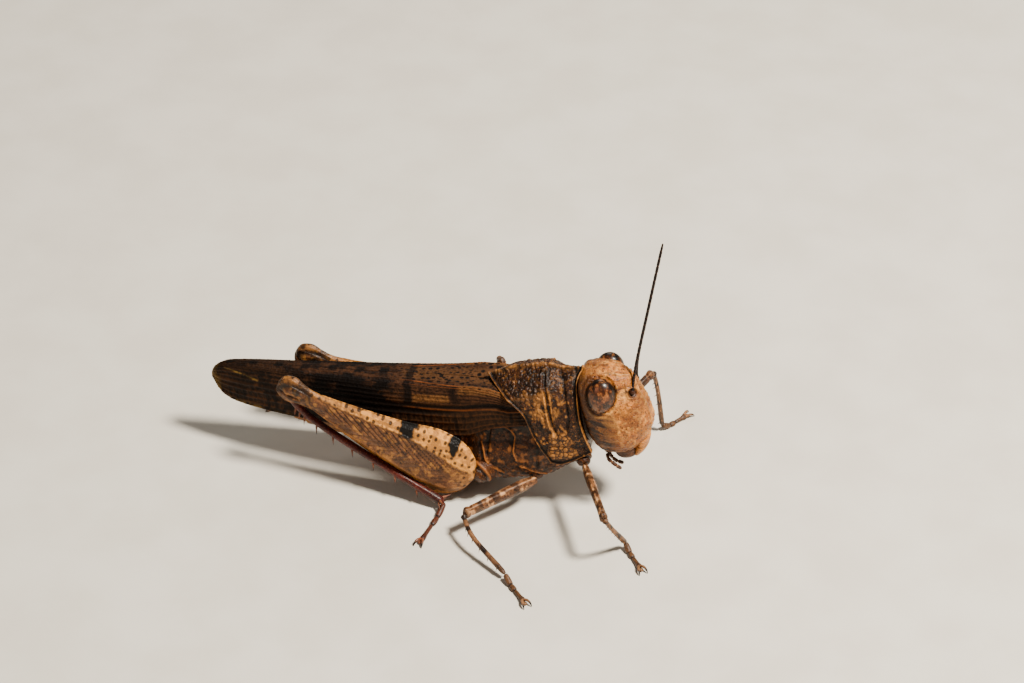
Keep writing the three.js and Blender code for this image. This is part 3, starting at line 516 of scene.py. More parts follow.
def head():
    bare = head_surface()
    way = outward_normals(bare)
    folded = np.abs(bare) * [0, 1, 0] + bare * [1, 0, 1]
    eye = eye_distance(folded)
    x, y, z = folded[..., 0], folded[..., 1], folded[..., 2]
    costa = to_line(folded, [14.9, 0.3, 0.1], [15.3, 0.42, -1.0], [15.75, 0.5, -2.4], [16.2, 0.55, -5.0], [15.8, 0.75, -6.8])
    cheek = to_line(folded, [14.75, 1.3, -2.3], [14.9, 1.9, -4.5], [14.5, 2.2, -7.0])
    vertex = to_line(folded, [12.9, 0.95, 1.0], [13.9, 0.85, 0.75], [14.7, 0.35, 0.3])
    below_eye = to_line(folded, [12.75, 2.9, -2.9], [12.95, 2.95, -5.0], [13.1, 2.7, -7.3])
    below_ridge = to_line(folded, [12.95, 2.75, -2.8], [13.35, 2.8, -4.4], [13.5, 2.6, -6.0])
    clypeus = to_line(folded, [13.9, 2.0, -7.0], [15.2, 1.3, -6.95], [15.8, 0, -7.0])
    socket = np.linalg.norm(folded - ANTENNA_ROOT, axis=-1)
    rear = smooth(x, 12.4, 10.6)
    gena = smooth(z, -2.6, -3.6) * smooth(x, 13.6, 12.2)
    slant = np.stack([x * 0.35 + z * 0.94, y * 0.3, (x * 0.94 - z * 0.35) * 0.12], axis=-1)
    streak = noise(slant, 0.24, 5, 2)
    collar = noise(np.stack([x * 1.0, y * 0.3, z * 0.3], axis=-1), 0.3, 7, 2)
    grains, gap = nearest_cell(bare, 0.4, 11)
    upper = smooth(z, -3.0, -0.5)
    brow = 0.35 + 0.65 * smooth(z, -1.4, 0.2)
    height = 0.1 * brow * ridge(eye - 1.3, 0.1) - 0.1 * ridge(eye - 1.12, 0.08) - 0.3 * smooth(eye, 1.1, 0.95)
    height += 0.13 * ridge(costa, 0.15) - 0.07 * ridge(y, 0.3) * smooth(x, 14.8, 15.3)
    height += 0.1 * ridge(cheek, 0.16) + 0.1 * ridge(vertex, 0.13)
    height += 0.15 * ridge(socket - 0.58, 0.12) - 0.25 * ridge(socket, 0.4)
    height += 0.09 * ridge(below_ridge, 0.16) - 0.11 * ridge(below_eye, 0.1) - 0.12 * ridge(clypeus, 0.1)
    height += 0.1 * gena * (streak - 0.5) + 0.05 * rear * (collar - 0.5)
    height -= 0.05 * ridge(y, 0.06) * smooth(x, 13.2, 12.2) * smooth(z, 0.4, 0.9)
    height += 0.06 * (1 - smooth(grains, 0.1, 0.45)) * smooth(x, 12.0, 13.6)
    height += 0.1 * (noise(bare, 0.8, 3, 3) - 0.5) + 0.07 * (noise(bare, 0.26, 4, 2) - 0.5)
    shape = Shape()
    # Painted shade: the cheek below and behind the eye and the back of the head are darkened as if turned from the
    # light; the streaks and wrinkles on them are their own marks.
    dark = np.clip(0.66 * gena + 0.34 * gena * smooth(streak, 0.46, 0.6) + 0.3 * rear * smooth(collar, 0.42, 0.6), 0, 1)
    dark = np.maximum(dark, 0.84 * smooth(x, 12.3, 10.9) * (0.5 + 0.5 * smooth(y, 0.6, 1.8)))
    # Painted shadow of the antenna: a dark band from the antenna's root back over the face to the front of the eye.
    antenna_shadow_line = to_line(folded[..., [0, 2]], [13.4, -0.4], [14.1, -0.6], [14.6, -0.85], [15.05, -1.5])
    blots = smooth(noise(bare, 0.34, 8, 2), 0.36, 0.5)
    dark = np.maximum(dark, 0.95 * ridge(antenna_shadow_line, 0.34) * blots * smooth(y, 0.9, 1.2))
    dark = np.maximum(dark, 0.9 * ridge(socket - 0.42, 0.22))
    dark = np.maximum(dark, 0.55 * smooth(z, -6.4, -8.0))
    # Painted shade in the crease round the eye and on the head just behind and below the eye.
    dark = np.maximum(dark, 0.95 * ridge(eye - 1.16, 0.08) * (0.3 + 0.7 * smooth(x, 12.6, 11.6)))
    dark = np.maximum(dark, 0.8 * smooth(eye, 1.5, 1.15) * smooth(x, 12.0, 11.0) * smooth(z, 0.4, -0.8))
    spots, _ = nearest_cell(bare, 0.8, 21, 1.0)
    dark = np.maximum(dark, 0.9 * (1 - smooth(spots, 0.1, 0.17)) * smooth(x, 11.6, 12.4))
    flecks = smooth(noise(bare, 0.26, 23, 2), 0.52, 0.64)
    dark = np.maximum(dark, 0.62 * flecks * (0.55 + 0.45 * upper))
    dark = np.maximum(dark, 0.45 * smooth(noise(bare, 1.1, 27, 3), 0.52, 0.64))
    pale = 0.7 * ridge(below_ridge, 0.2) + 0.7 * ridge(eye - 1.3, 0.08) * smooth(z, -1.6, -2.4)
    pale = pale + 0.5 * ridge(costa, 0.16) + 0.35 * ridge(cheek, 0.16) + 0.4 * ridge(vertex, 0.13)
    pale = pale + 0.5 * ridge(np.linalg.norm(folded - [14.3, 1.8, -1.3], axis=-1), 0.5)
    pale = pale + 0.35 * smooth(noise(bare, 0.36, 25, 2), 0.56, 0.68)
    shape.rings(on_body(bare + way * height[..., None]), dark=dark, pale=np.clip(pale, 0, 1))
    shape.build("head_capsule", FACE, "face", "head")


def ball(centre, radii, rows=48, sides=72, tilt=0.0):
    """Rings of an ellipsoid from its top down, with its polar and round angles."""
    polar = np.linspace(0.012, np.pi - 0.012, rows)[:, None]
    angle = np.linspace(0, 2 * np.pi, sides, endpoint=False)[None]
    x, y, z = np.sin(polar) * np.cos(angle), np.sin(polar) * np.sin(angle), np.cos(polar) + 0 * angle
    x, y, z = x * radii[0], y * radii[1], z * radii[2]
    turned = np.stack([x * math.cos(tilt) + z * math.sin(tilt), y, -x * math.sin(tilt) + z * math.cos(tilt)], axis=-1)
    return turned + centre, polar + 0 * angle, angle + 0 * polar


def eye(name, sign):
    rings, polar, angle = ball(EYE_CENTRE * [1, sign, 1], EYE_RADII * EYE_FULLNESS, 110, 140, EYE_TILT)
    way = outward_normals(rings)
    outer = np.sin(polar) * np.abs(np.sin(angle))
    local = (rings - EYE_CENTRE * [1, sign, 1]) / (EYE_RADII * EYE_FULLNESS)
    stripes = noise(np.stack([rings[..., 0] * 2.6, rings[..., 1] * 2.6, rings[..., 2] * 0.5], axis=-1), 0.8, 31, 2)
    # Painted shade: the eye darkens towards its rim and most on its lower back side, away from the light; the stripes
    # are the eye's own pattern.
    dark = smooth(stripes, 0.5, 0.64) * 0.7 + 0.8 * smooth(outer, 0.42, 0.2)
    dark = dark + 0.95 * smooth(-local[..., 0] * 0.8 - local[..., 2] * 0.6, 0.12, 0.5)
    pale = smooth(stripes, 0.42, 0.3) * 0.35
    shape = Shape()
    bulge = 0.012 * (stripes - 0.5)
    shape.rings(on_body(rings + way * bulge[..., None]), dark=np.clip(dark, 0, 1), pale=pale)
    shape.build(f"compound_eye_{name}", EYE, "eye", f"eye_{name}")


def ocelli():
    shape = Shape()
    for x, y, z, size in ((15.5, 0, -2.05, 0.26), (14.45, 1.15, -0.25, 0.24), (14.45, -1.15, -0.25, 0.24)):
        rings, _, _ = ball(np.array([x, y, z]), np.array([0.75, 1, 1]) * size, 18, 28)
        shape.rings(on_body(rings), dark=0.0, pale=0.6)
    shape.build("ocelli", EYE, "eye", "head")


ANTENNAE = {
    "right": ([14.7, -0.75, -1.1], ([0.2, -0.4, -0.3], [0.75, 0.5, 2.2], [2.6, 2.3, 8.2], [4.6, 4.4, 14.6])),
    "left": ([14.7, 0.75, -1.1], ([0.2, 0.4, -0.3], [0.65, 0.5, 2.1], [2.3, 2.2, 7.6], [4.1, 4.2, 13.4])),
}
FLAGELLUM_JOINTS = 24


def antenna(name):
    root, steps = ANTENNAE[name]
    route = path(*(np.array(root) + step for step in steps))
    thick = through([[0, 0.5], [0.02, 0.6], [0.045, 0.56], [0.055, 0.3], [0.07, 0.4], [0.085, 0.36], [0.092, 0.24],
                     [0.11, 0.3], [0.5, 0.32], [0.95, 0.28], [1, 0.16]])
    rings, t, angle = rod(route, thick, thick, [1, 0, 0], 420, 18, ends=(0, 0.006))
    joint = (t - 0.09) / 0.91 * FLAGELLUM_JOINTS
    near = np.abs(joint - np.round(joint))
    along_whip = t > 0.1
    height = -0.035 * ridge(near, 0.09) * along_whip
    shape = Shape()
    way = outward_normals(rings)
    pale = 0.3 * ridge(near, 0.1) * along_whip + 0.5 * (t < 0.05)
    shape.rings(on_body(rings + way * height[..., None]), dark=0.0, pale=pale)
    shape.build(f"antenna_{name}_segments", FEELER, "antenna", f"antenna_{name}")


def labrum():
    route = path([15.0, 0, -7.2], [14.7, 0, -8.3], [13.9, 0, -9.5])
    depth = through([[0, 1.5], [0.5, 1.3], [1, 0.7]])
    width = through([[0, 3.1], [0.35, 3.3], [0.8, 2.8], [1, 1.9]])
    rings, t, angle = rod(route, width, depth, [1, 0, 0], 70, 90, ends=(0.05, 0.12))
    way = outward_normals(rings)
    y, z = rings[..., 1], rings[..., 2]
    fold = ridge(t - 0.36, 0.025)
    notch = ridge(y, 0.25) * smooth(t, 0.75, 1.0)
    height = -0.09 * fold - 0.12 * notch + 0.05 * (noise(rings, 0.6, 41, 2) - 0.5) + 0.03 * ridge(y, 0.5)
    dark = 0.6 * fold + 0.4 * smooth(t, 0.55, 1.0)
    shape = Shape()
    shape.rings(on_body(rings + way * height[..., None]), dark=np.clip(dark, 0, 1), pale=0.15 * (1 - fold))
    shape.build("upper_lip", FACE, "face", "labrum")


def mandibles():
    shape = Shape()
    for _, sign in SIDES:
        route = path([13.1, sign * 0.95, -7.9], [13.15, sign * 0.95, -8.8], [13.2, sign * 0.5, -9.5])
        depth = through([[0, 2.5], [0.6, 2.3], [1, 1.1]])
        width = through([[0, 1.8], [0.5, 1.6], [1, 0.7]])
        rings, t, angle = rod(route, width, depth, [1, 0, 0], 40, 48, ends=(0.1, 0.2))
        way = outward_normals(rings)
        height = 0.06 * (noise(rings, 0.5, 51, 2) - 0.5) - 0.05 * ridge(t - 0.4, 0.04)
        shape.rings(on_body(rings + way * height[..., None]), dark=smooth(t, 0.55, 0.9), pale=0.0)
    shape.build("mandible_pair", MOUTH, "mouthparts", "mandibles")


def palps(name, sign):
    shape = Shape()
    feelers = (
        ([11.0, 1.0, -8.6], [11.6, 1.35, -9.1]),
        ([11.2, 1.35, -8.9], [11.5, 2.05, -9.1], [12.1, 2.25, -9.6], [12.6, 1.95, -10.4]),
        ([11.3, 1.1, -9.0], [11.9, 1.25, -9.8], [12.7, 1.15, -10.3]),
    )
    for joints in feelers:
        route = path(*(np.array(joint) * [1, sign, 1] for joint in joints))
        links = max(2, len(joints))
        thick = through([[0, 0.36], [0.8, 0.4], [1, 0.34]])
        rings, t, angle = rod(route, thick, thick, [1, 0, 0], 80, 20, ends=(0.08, 0.08))
        near = np.abs(t * links - np.round(t * links))
        waist = ridge(near, 0.1) * (t > 0.1) * (t < 0.95)
        way = outward_normals(rings)
        shape.rings(on_body(rings - way * 0.08 * waist[..., None]), dark=0.2 * waist, pale=0.7 * waist)
    shape.build(f"palps_{name}_segments", MOUTH, "mouthparts", f"palps_{name}")


head()
ocelli()
labrum()
mandibles()
for side_name, side_sign in SIDES:
    eye(side_name, side_sign)
    antenna(side_name)
    palps(side_name, side_sign)

# ---------------------------------------------------------------- thorax shield
SHELL = 0.35
SHIELD_CREST = [[0, 0], [1.5, 0.56], [3, 0.98], [5, 1.26], [6.4, 1.34], [7.9, 0.94], [8.6, 0.88], [10.1, 0.9]]
SHIELD_SHOULDER = [[0, 2.8], [3, 3.2], [5, 3.05], [7, 2.3], [8.2, 1.65], [10.1, 1.4]]
SHIELD_FLANK = [[0, 3.5], [3, 3.6], [5, 3.6], [7, 3.35], [10.1, 3.1]]
SHIELD_HEM = [[4, -8.2], [5.6, -8.6], [6.7, -9.0], [7.7, -8.75], [10.2, -7.6]]
SHIELD_ROOF_SLOPE = 0.45
SHIELD_REAR = [[0, 0], [0.08, 0.45], [0.4, 2.95], [0.52, 4.1], [0.68, 4.66], [0.85, 5.2], [1, 5.75]]
SHIELD_FRONT = [[0, 10.1], [0.2, 9.7], [0.42, 9.5], [0.7, 9.75], [1, 10.15]]


def stations(x, xs, values):
    """Piecewise smooth value at x between stations whose values are arrays."""
    xs = np.asarray(xs, float)
    slopes = [(b - a) / (d - c) for a, b, c, d in zip(values, values[1:], xs, xs[1:])]
    inner = []
    for before, after in zip(slopes, slopes[1:]):
        total = before + after
        inner.append(np.where(before * after > 0, 2 * before * after / np.where(total == 0, 1, total), 0))
    tangents = [slopes[0], *inner, slopes[-1]]
    result = 0 * x + values[-1]
    for i in reversed(range(len(xs) - 1)):
        step = xs[i + 1] - xs[i]
        t = np.clip((x - xs[i]) / step, 0, 1)
        start = (1 + 2 * t) * (1 - t) ** 2 * values[i] + t * (1 - t) ** 2 * step * tangents[i]
        end = t * t * (3 - 2 * t) * values[i + 1] + t * t * (t - 1) * step * tangents[i + 1]
        result = np.where(x < xs[i + 1], start + end, result)
    return result


def shield_surface(u, v):
    """The shield's outer face at girth u (-1 right hem, 0 crest, 1 left hem) and length v."""
    girth = np.abs(u)
    rear, front = through(SHIELD_REAR)(girth), through(SHIELD_FRONT)(girth)
    x = rear + v * (front - rear)
    crest, wide, flank, hem = (through(table)(x) for table in (SHIELD_CREST, SHIELD_SHOULDER, SHIELD_FLANK, SHIELD_HEM))
    roof = lambda y: crest - SHIELD_ROOF_SLOPE * y
    half = stations(girth, [0, 0.2, 0.36, 0.62, 1], [0 * x, 0.6 * wide, wide, flank, flank - 0.3])
    fall = 0.4 * roof(wide) + 0.6 * hem
    height = stations(girth, [0, 0.2, 0.36, 0.66, 1], [crest, roof(0.6 * wide), roof(wide) - 0.3, fall, hem])
    return np.stack([x, np.sign(u) * half, height], axis=-1)


def pronotum():
    u = np.linspace(-1, 1, 361)[:, None]
    v = np.linspace(0, 1, 171)[None, :]
    outer = shield_surface(u + 0 * v, v + 0 * u)
    way = normals(outer, closed=False)
    way = way * np.sign(np.sum(way * (outer - [5, 0, -4])))
    x, y, z = outer[..., 0], np.abs(outer[..., 1]), outer[..., 2]
    u, v = np.abs(u + 0 * v), v + 0 * u
    flat = np.stack([x, z], axis=-1)
    side = smooth(u, 0.3, 0.42)
    keel = ridge(y, 0.16) * (1 - 0.75 * ridge(x - 6.35, 0.18))
    first = to_line(flat, [6.2, 0.8], [6.55, -0.6], [6.6, -2.4], [6.7, -3.8], [7.05, -4.9])
    second = to_line(flat, [7.7, 0.8], [8.1, 0.4], [8.33, -1.75], [8.45, -3.2], [8.1, -4.6])
    third = to_line(flat, [9.25, 0.9], [9.2, -1.5], [9.3, -4.5], [9.45, -7.0])
    cross = to_line(flat, [6.75, -3.9], [7.6, -4.4], [8.3, -4.0])
    lobes = np.minimum(to_line(flat, [7.0, -5.5], [7.5, -5.7]) / 0.85, to_line(flat, [6.6, -7.4], [7.6, -7.4]) / 0.85)
    shoulder = ridge((u - 0.36) * 8.2, 0.22)
    margin = np.minimum(np.minimum(v, 1 - v) * (9.8 - 3.6 * u), (1 - u) * 14)
    rugose, gap = nearest_cell(outer, 0.46, 61, 0.95)
    wrinkle = noise(outer * [1, 1, 0.6], 0.5, 63, 3)
    metazona = smooth(x, 6.6, 6.2)
    height = 0.26 * keel - 0.17 * ridge(first, 0.16) - 0.15 * ridge(second, 0.15) - 0.1 * ridge(third, 0.16)
    height += 0.16 * ridge(first - 0.3, 0.16) * smooth(x, 6.7, 6.4) - 0.1 * ridge(cross, 0.14) * side
    height += 0.07 * shoulder * (0.4 + 0.6 * metazona)
    height += 0.14 * (1 - smooth(lobes, 0.6, 1.25)) * side
    height += 0.13 * ridge(margin - 0.08, 0.12) - 0.06 * ridge(margin - 0.4, 0.14)
    height += (0.07 + 0.05 * metazona) * smooth(gap - rugose, 0.0, 0.5) * smooth(margin, 0.3, 0.7)
    height += 0.16 * (wrinkle - 0.5) * smooth(margin, 0.2, 0.7)
    inner = outer - way * SHELL
    outer = outer + way * height[..., None]
    rim = ridge(margin - 0.04, 0.06)
    patch = 1 - smooth(lobes, 0.75, 1.3)
    glow = ridge(((x - 6.2) / 1.5) ** 2 + ((z + 2.1) / 1.8) ** 2, 1.1) * side
    tan = 0.6 * patch * side * smooth(gap - rugose, 0.02, 0.3) + 0.6 * glow * smooth(wrinkle, 0.4, 0.58)
    tan += 0.7 * ridge(first - 0.26, 0.1) * smooth(z, 0.3, -0.6) * (x < 6.9)
    tan += 0.65 * rim + 0.5 * keel + 0.25 * shoulder * metazona
    freckles = noise(outer, 0.33, 67, 2)
    tan = np.clip(tan * (0.55 + 0.75 * smooth(freckles, 0.35, 0.6)), 0, 1)
    tan = np.maximum(tan, (0.2 + 0.3 * smooth(z, 0.2, -1.6)) * smooth(freckles, 0.58, 0.7))
    dark = 0.85 * ridge(margin - 0.3, 0.12) + 0.7 * ridge(first, 0.13) + 0.6 * ridge(second, 0.13) + 0.5 * ridge(third, 0.16)
    dark += 0.55 * smooth(noise(outer, 0.9, 69, 2), 0.52, 0.66) * (1 - patch) + 0.7 * (1 - smooth(gap - rugose, 0.0, 0.12)) * 0.6
    dark = np.clip(dark, 0, 1) * (1 - 0.8 * rim)
    shape = Shape()
    shape.plate(on_body(outer), on_body(inner), dark=dark, pale=tan)
    shape.build("pronotum_shell", SHIELD, "shield", "pronotum")


pronotum()

# ---------------------------------------------------------------- wings
WING_THICKNESS = 0.5
WING_TIP = -30.32
WING_TOP = [[-30.4, 0.1], [-30.2, 0.55], [-29.8, 0.98], [-29.2, 1.34], [-28, 1.65], [-20, 1.1], [-10, 0.4], [-3, 0.03],
            [0, -0.36], [4.6, -0.5]]
WING_HEM = [[-30.4, 0], [-30.2, -0.55], [-29.8, -1.3], [-29.2, -2.05], [-28.2, -2.6], [-26.5, -3.08], [-23.6, -3.6],
            [-18, -4.35], [-10, -5.0], [-3, -5.15], [0.2, -4.2], [3, -3.8], [4.6, -3.6]]
WING_FOLD_HALF = [[-30.4, 0.12], [-28, 0.6], [-20, 1.15], [-10, 1.7], [0, 2.15], [4.6, 2.5]]
WING_HEM_HALF = [[-30.4, 0.2], [-29.5, 0.7], [-28, 1.1], [-20, 2.3], [-10, 3.1], [0, 3.55], [4.6, 3.6]]
WING_START = [[0, -0.15], [0.3, 1.75], [0.5, 3.1], [0.75, 4.2], [1, 4.6]]
WING_FOLD_DROP = [[-30.4, 0.03], [-26.4, 0.18], [-6, 0.14], [-3, 0.02], [-0.8, -0.32], [0.6, -0.24], [2.4, 0.16]]
WING_FOLD_AT = 0.3
# Long veins as their place across the wing (0 back, 1 hem) at stations from the tip to the root.
VEIN_STATIONS = (-30.4, -27, -22, -15, -8, 0, 4.6)
LONG_VEINS = {
    "dorsal_1": (0.01, 0.015, 0.03, 0.05, 0.07, 0.10, 0.12),
    "dorsal_2": (0.02, 0.03, 0.055, 0.085, 0.125, 0.20, 0.24),
    "anal": (0.03, 0.05, 0.08, 0.12, 0.18, 0.335, 0.38),
    "cubital_2": (0.12, 0.15, 0.20, 0.24, 0.29, 0.42, 0.50),
    "cubital_1": (0.22, 0.26, 0.30, 0.33, 0.37, 0.47, 0.54),
    "medial_3": (0.30, 0.34, 0.38, 0.41, 0.44, 0.52, 0.58),
    "medial_2": (0.38, 0.42, 0.45, 0.48, 0.51, 0.57, 0.61),
    "medial_1": (0.47, 0.50, 0.53, 0.55, 0.575, 0.61, 0.64),
    "sector": (0.56, 0.58, 0.59, 0.60, 0.62, 0.65, 0.665),
    "radial": (0.66, 0.665, 0.67, 0.68, 0.69, 0.715, 0.73),
    "subcostal": (0.76, 0.75, 0.75, 0.755, 0.765, 0.78, 0.79),
    "costal": (0.86, 0.85, 0.84, 0.84, 0.845, 0.85, 0.86),
    "front": (0.95, 0.935, 0.93, 0.93, 0.93, 0.93, 0.93),
}
STOUT_VEINS = {"anal": 1.7, "cubital_2": 1.2, "radial": 1.6, "subcostal": 1.2}


def wing_surface(sign, w, s):
    """The outer face of a folded wing: w runs over the back and down to the hem, s root to tip."""
    start = through(WING_START)(w)
    x = start + s * (WING_TIP - start)
    top, hem = through(WING_TOP)(x), through(WING_HEM)(x)
    fold_half, hem_half = through(WING_FOLD_HALF)(x), through(WING_HEM_HALF)(x)
    half = stations(w, [0, WING_FOLD_AT, 1], [0.06 + 0 * x, fold_half, hem_half])
    height = stations(w, [0, WING_FOLD_AT, 1], [top, top - through(WING_FOLD_DROP)(x), hem])
    return np.stack([x, sign * half, height], axis=-1)


def tegmen(name, sign):
    seed = 100 + 20 * sign
    w = np.linspace(0, 1, 118)[:, None]
    v = np.linspace(0, 1, 540)[None, :]
    s = 1 - (1 - v) ** 1.35
    outer = wing_surface(sign, w + 0 * s, s + 0 * w)
    way = normals(outer, closed=False)
    way = way * np.sign(np.sum(way * (outer - [-12, 0, -3])))
    x = outer[..., 0]
    w = w + 0 * x
    girth = np.linalg.norm(np.diff(outer, axis=0), axis=-1).sum(0)[None, :] + 0 * x
    places = np.stack([np.interp(x, VEIN_STATIONS, row) for row in LONG_VEINS.values()], axis=-1)
    sway = 0.012 * (noise(np.stack([x, w * 0 + 3], -1), 2.2, seed, 2) - 0.5)
    away = np.abs(w[..., None] + sway[..., None] - places) * girth[..., None]
    stout = np.array([STOUT_VEINS.get(vein, 1.0) for vein in LONG_VEINS])
    long_vein = np.max(ridge(away, 0.075 * stout) * np.minimum(stout, 1.4), axis=-1)
    strip = np.sum(places < w[..., None], axis=-1)
    spacing = 0.62 + 0.1 * np.sin(strip * 2.1)
    lean = w * girth * (0.35 * np.sin(strip * 1.7))
    cell = (x + lean) / spacing + 0.37 * strip
    home = np.floor(cell)
    near = np.full(x.shape, 9.0)
    for step in (-1, 0, 1, 2):
        spot = np.stack([home + step, strip * 1.0], axis=-1)
        near = np.minimum(near, np.abs(cell - home - step - 0.6 * (scatter(spot, seed) - 0.5)))
    cross_vein = ridge(near * spacing, 0.05) * (1 - long_vein)
    net = np.stack([x * 0.8, w * girth], axis=-1)
    web, web_next = nearest_cell(net, 0.42, seed + 3, 0.9)
    fine_net = 1 - smooth(web_next - web, 0.0, 0.16)
    apex = smooth(x, -13, -24)
    vein = np.clip(long_vein + 0.75 * cross_vein + 0.35 * fine_net * (1 - 0.4 * apex), 0, 1)
    sunk = through([[-26, 0.68], [-8, 0.705], [2, 0.66], [4.6, 0.65]])(x)
    sunk_half = through([[-26, 0.03], [-12, 0.09], [-8, 0.07], [2, 0.035], [4.6, 0.03]])(x)
    furrow = ridge((w - sunk) / sunk_half, 1.0) * smooth(x, -24, -12)
    height = (0.045 + 0.04 * smooth(w, 0.34, 0.5)) * long_vein + 0.04 * cross_vein + 0.03 * fine_net
    height += 0.03 * (noise(outer, 1.4, seed + 5, 2) - 0.5) - 0.13 * furrow
    height += 0.05 * ridge((1 - w) * girth, 0.18)
    height *= smooth(x, WING_TIP, WING_TIP + 0.6)
    inner = outer - way * WING_THICKNESS * 0.7
    outer = outer + way * (height - 0.1)[..., None]

    mottle = noise(net, 1.0, seed + 7, 4)
    ragged = 1.8 * (noise(net, 1.3, seed + 9, 4) - 0.5)
    base = smooth(x + 0.5 * ragged, -9.6, -8.4)
    blotch = smooth(x + ragged, -20.0, -18.4) * smooth(x + ragged, -9.4, -10.6) * smooth(w + 0.1 * ragged, 0.12, 0.26)
    streaks = ridge(to_line(np.stack([x, 9 * w], -1), [-12.4, 2.4], [-10.4, 5.5]), 0.9)
    streaks = streaks + ridge(np.hypot(x + 16, (w - 0.53) * 9), 0.75)
    blotch = blotch * (1 - 0.85 * np.clip(streaks, 0, 1) * smooth(noise(net, 0.5, seed + 10, 2), 0.42, 0.56))
    bar = smooth(0.42 - np.abs(x + 8.35 + 0.3 * ragged), -0.12, 0.18) * smooth(w, 0.68, 0.62)
    second_bar = smooth(0.45 - np.abs(x + 3.35 + 0.45 * ragged), -0.2, 0.3) * smooth(w, 0.24, 0.32) * smooth(w, 0.66, 0.6)
    patches = sum(ridge(x + place + 0.3 * ragged, 0.55) for place in (27.9, 25.3, 22.6, 19.7, 16.6, 13.9, 11.2))
    patches = smooth(patches, 0.35, 0.7) * smooth(w + 0.04 * ragged, 0.11, 0.05)
    cloud = smooth(mottle, 0.5, 0.6) * smooth(x, -9, -13) * smooth(x, -31, -24)
    # Painted shadow in the sunk furrow beside the radial vein, added to the mark of dark blotches, bars and patches.
    furrow_shadow = smooth(furrow, 0.3, 0.75) * smooth(x, 4.4, 2.6)
    blotch = np.clip(blotch + 0.9 * bar + 0.75 * second_bar + 0.85 * patches + 0.7 * cloud + 0.92 * furrow_shadow, 0, 1)
    dot, _ = nearest_cell(np.stack([x * 0.9, w * girth], -1), 0.72, seed + 13, 1.0)
    dots = 1 - smooth(dot + 0.4 * (mottle - 0.5), 0.18, 0.28)
    small, _ = nearest_cell(net, 0.42, seed + 15, 1.0)
    small = (1 - smooth(small, 0.2, 0.34)) * smooth(mottle, 0.44, 0.58)
    blocks = smooth(np.sin(x * 2 * math.pi / 0.86 + 3 * mottle), 0.1, 0.7) * smooth(mottle, 0.38, 0.5)
    speck = dots * smooth(w, 0.46, 0.34) * (0.35 + 0.65 * base) + 0.7 * small * smooth(w, 0.66, 0.5)
    speck = np.clip(speck + 0.7 * blocks * smooth(w, 0.72, 0.78) * smooth(w, 0.98, 0.93), 0, 1)
    field = smooth(0.06 - np.abs(w - 0.56), 0, 0.02) * smooth(x + 0.2 * ragged, -8.0, -7.7) * smooth(x + 0.2 * ragged, -3.8, -4.1)
    ticks = 1 - 0.5 * smooth(np.sin(x * 22), 0.2, 0.8) * smooth(w, 0.54, 0.52)
    cells = smooth(x, -3.2, -2.4) * smooth(w, 0.22, 0.28) * smooth(w, 0.52, 0.47)
    tan = np.clip(0.95 * field * ticks + 0.6 * cells + 0.25 * base * smooth(w, 0.2, 0.1), 0, 1) * (1 - furrow_shadow)
    edge = np.clip(ridge((1 - w) * girth, 0.22) * smooth(x, -20, -26) + smooth(x, -28.9, -30.1), 0, 1)
    pale_vein = ridge(to_line(np.stack([x, 9 * w], -1), [-28.4, 3.8], [-24.9, 5.25]), 0.13)
    edge = np.clip(edge * smooth(noise(net, 0.6, seed + 17, 2), 0.3, 0.5) + 1.2 * pale_vein, 0, 1)
    bright = np.max(ridge(away[..., [2, 3, 9]], 0.08) * [0.9, 0.4, 0.5], axis=-1) * smooth(x, -9.5, -7.5)
    bright = np.clip(bright + 0.35 * ridge((1 - w) * girth, 0.1) * smooth(x, -12, -6), 0, 1)
    bright = bright * (0.4 + 0.6 * smooth(mottle, 0.4, 0.55))
    olive = smooth(w, 0.7, 0.76) * smooth(x, -12, -8)
    quiet = 0.3 + 0.3 * smooth(w, 0.34, 0.5) - 0.1 * apex
    vein_mark = np.maximum(vein * quiet, 0.4 * fine_net) * (1 - 0.6 * blotch)
    shape = Shape()
    shape.plate(on_body(outer), on_body(inner), vein=vein_mark, blotch=blotch * 0.94, speck=speck, tan=tan, olive=olive,
                edge=0.6 * edge, bright=bright * 0.8, tip=0.8 * smooth(x, -18.5, -22))
    shape.build(f"forewing_{name}", WING, "forewing", f"tegmen_{name}")


def hindwing(name, sign):
    """The folded hindwing, a pleated fan under the roof of the forewing."""
    u = np.linspace(0, 1, 90)[:, None]
    x = np.linspace(-5.3, -23.9, 260)[None, :] + 0 * u
    reach = through(WING_FOLD_HALF)(x) - WING_THICKNESS - 0.1
    roof = through(WING_TOP)(x) - through(WING_FOLD_DROP)(x) * u - WING_THICKNESS - 0.2
    pleat = np.abs(((u * 6) % 1) - 0.5) * 2
    side = sign * (0.06 + u * (reach - 0.06))
    outer = np.stack([x, side, roof - 0.12 * pleat], axis=-1)
    inner = np.stack([x, side, roof - 0.3 - 0.12 * pleat], axis=-1)
    vein = np.broadcast_to(ridge(pleat - 1, 0.3), x.shape)
    shape = Shape()
    shape.plate(on_body(outer), on_body(inner), vein=vein)
    shape.build(f"hindwing_{name}_fan", MEMBRANE, "hindwing", f"hindwing_{name}")


for side_name, side_sign in SIDES:
    tegmen(side_name, side_sign)
    hindwing(side_name, side_sign)

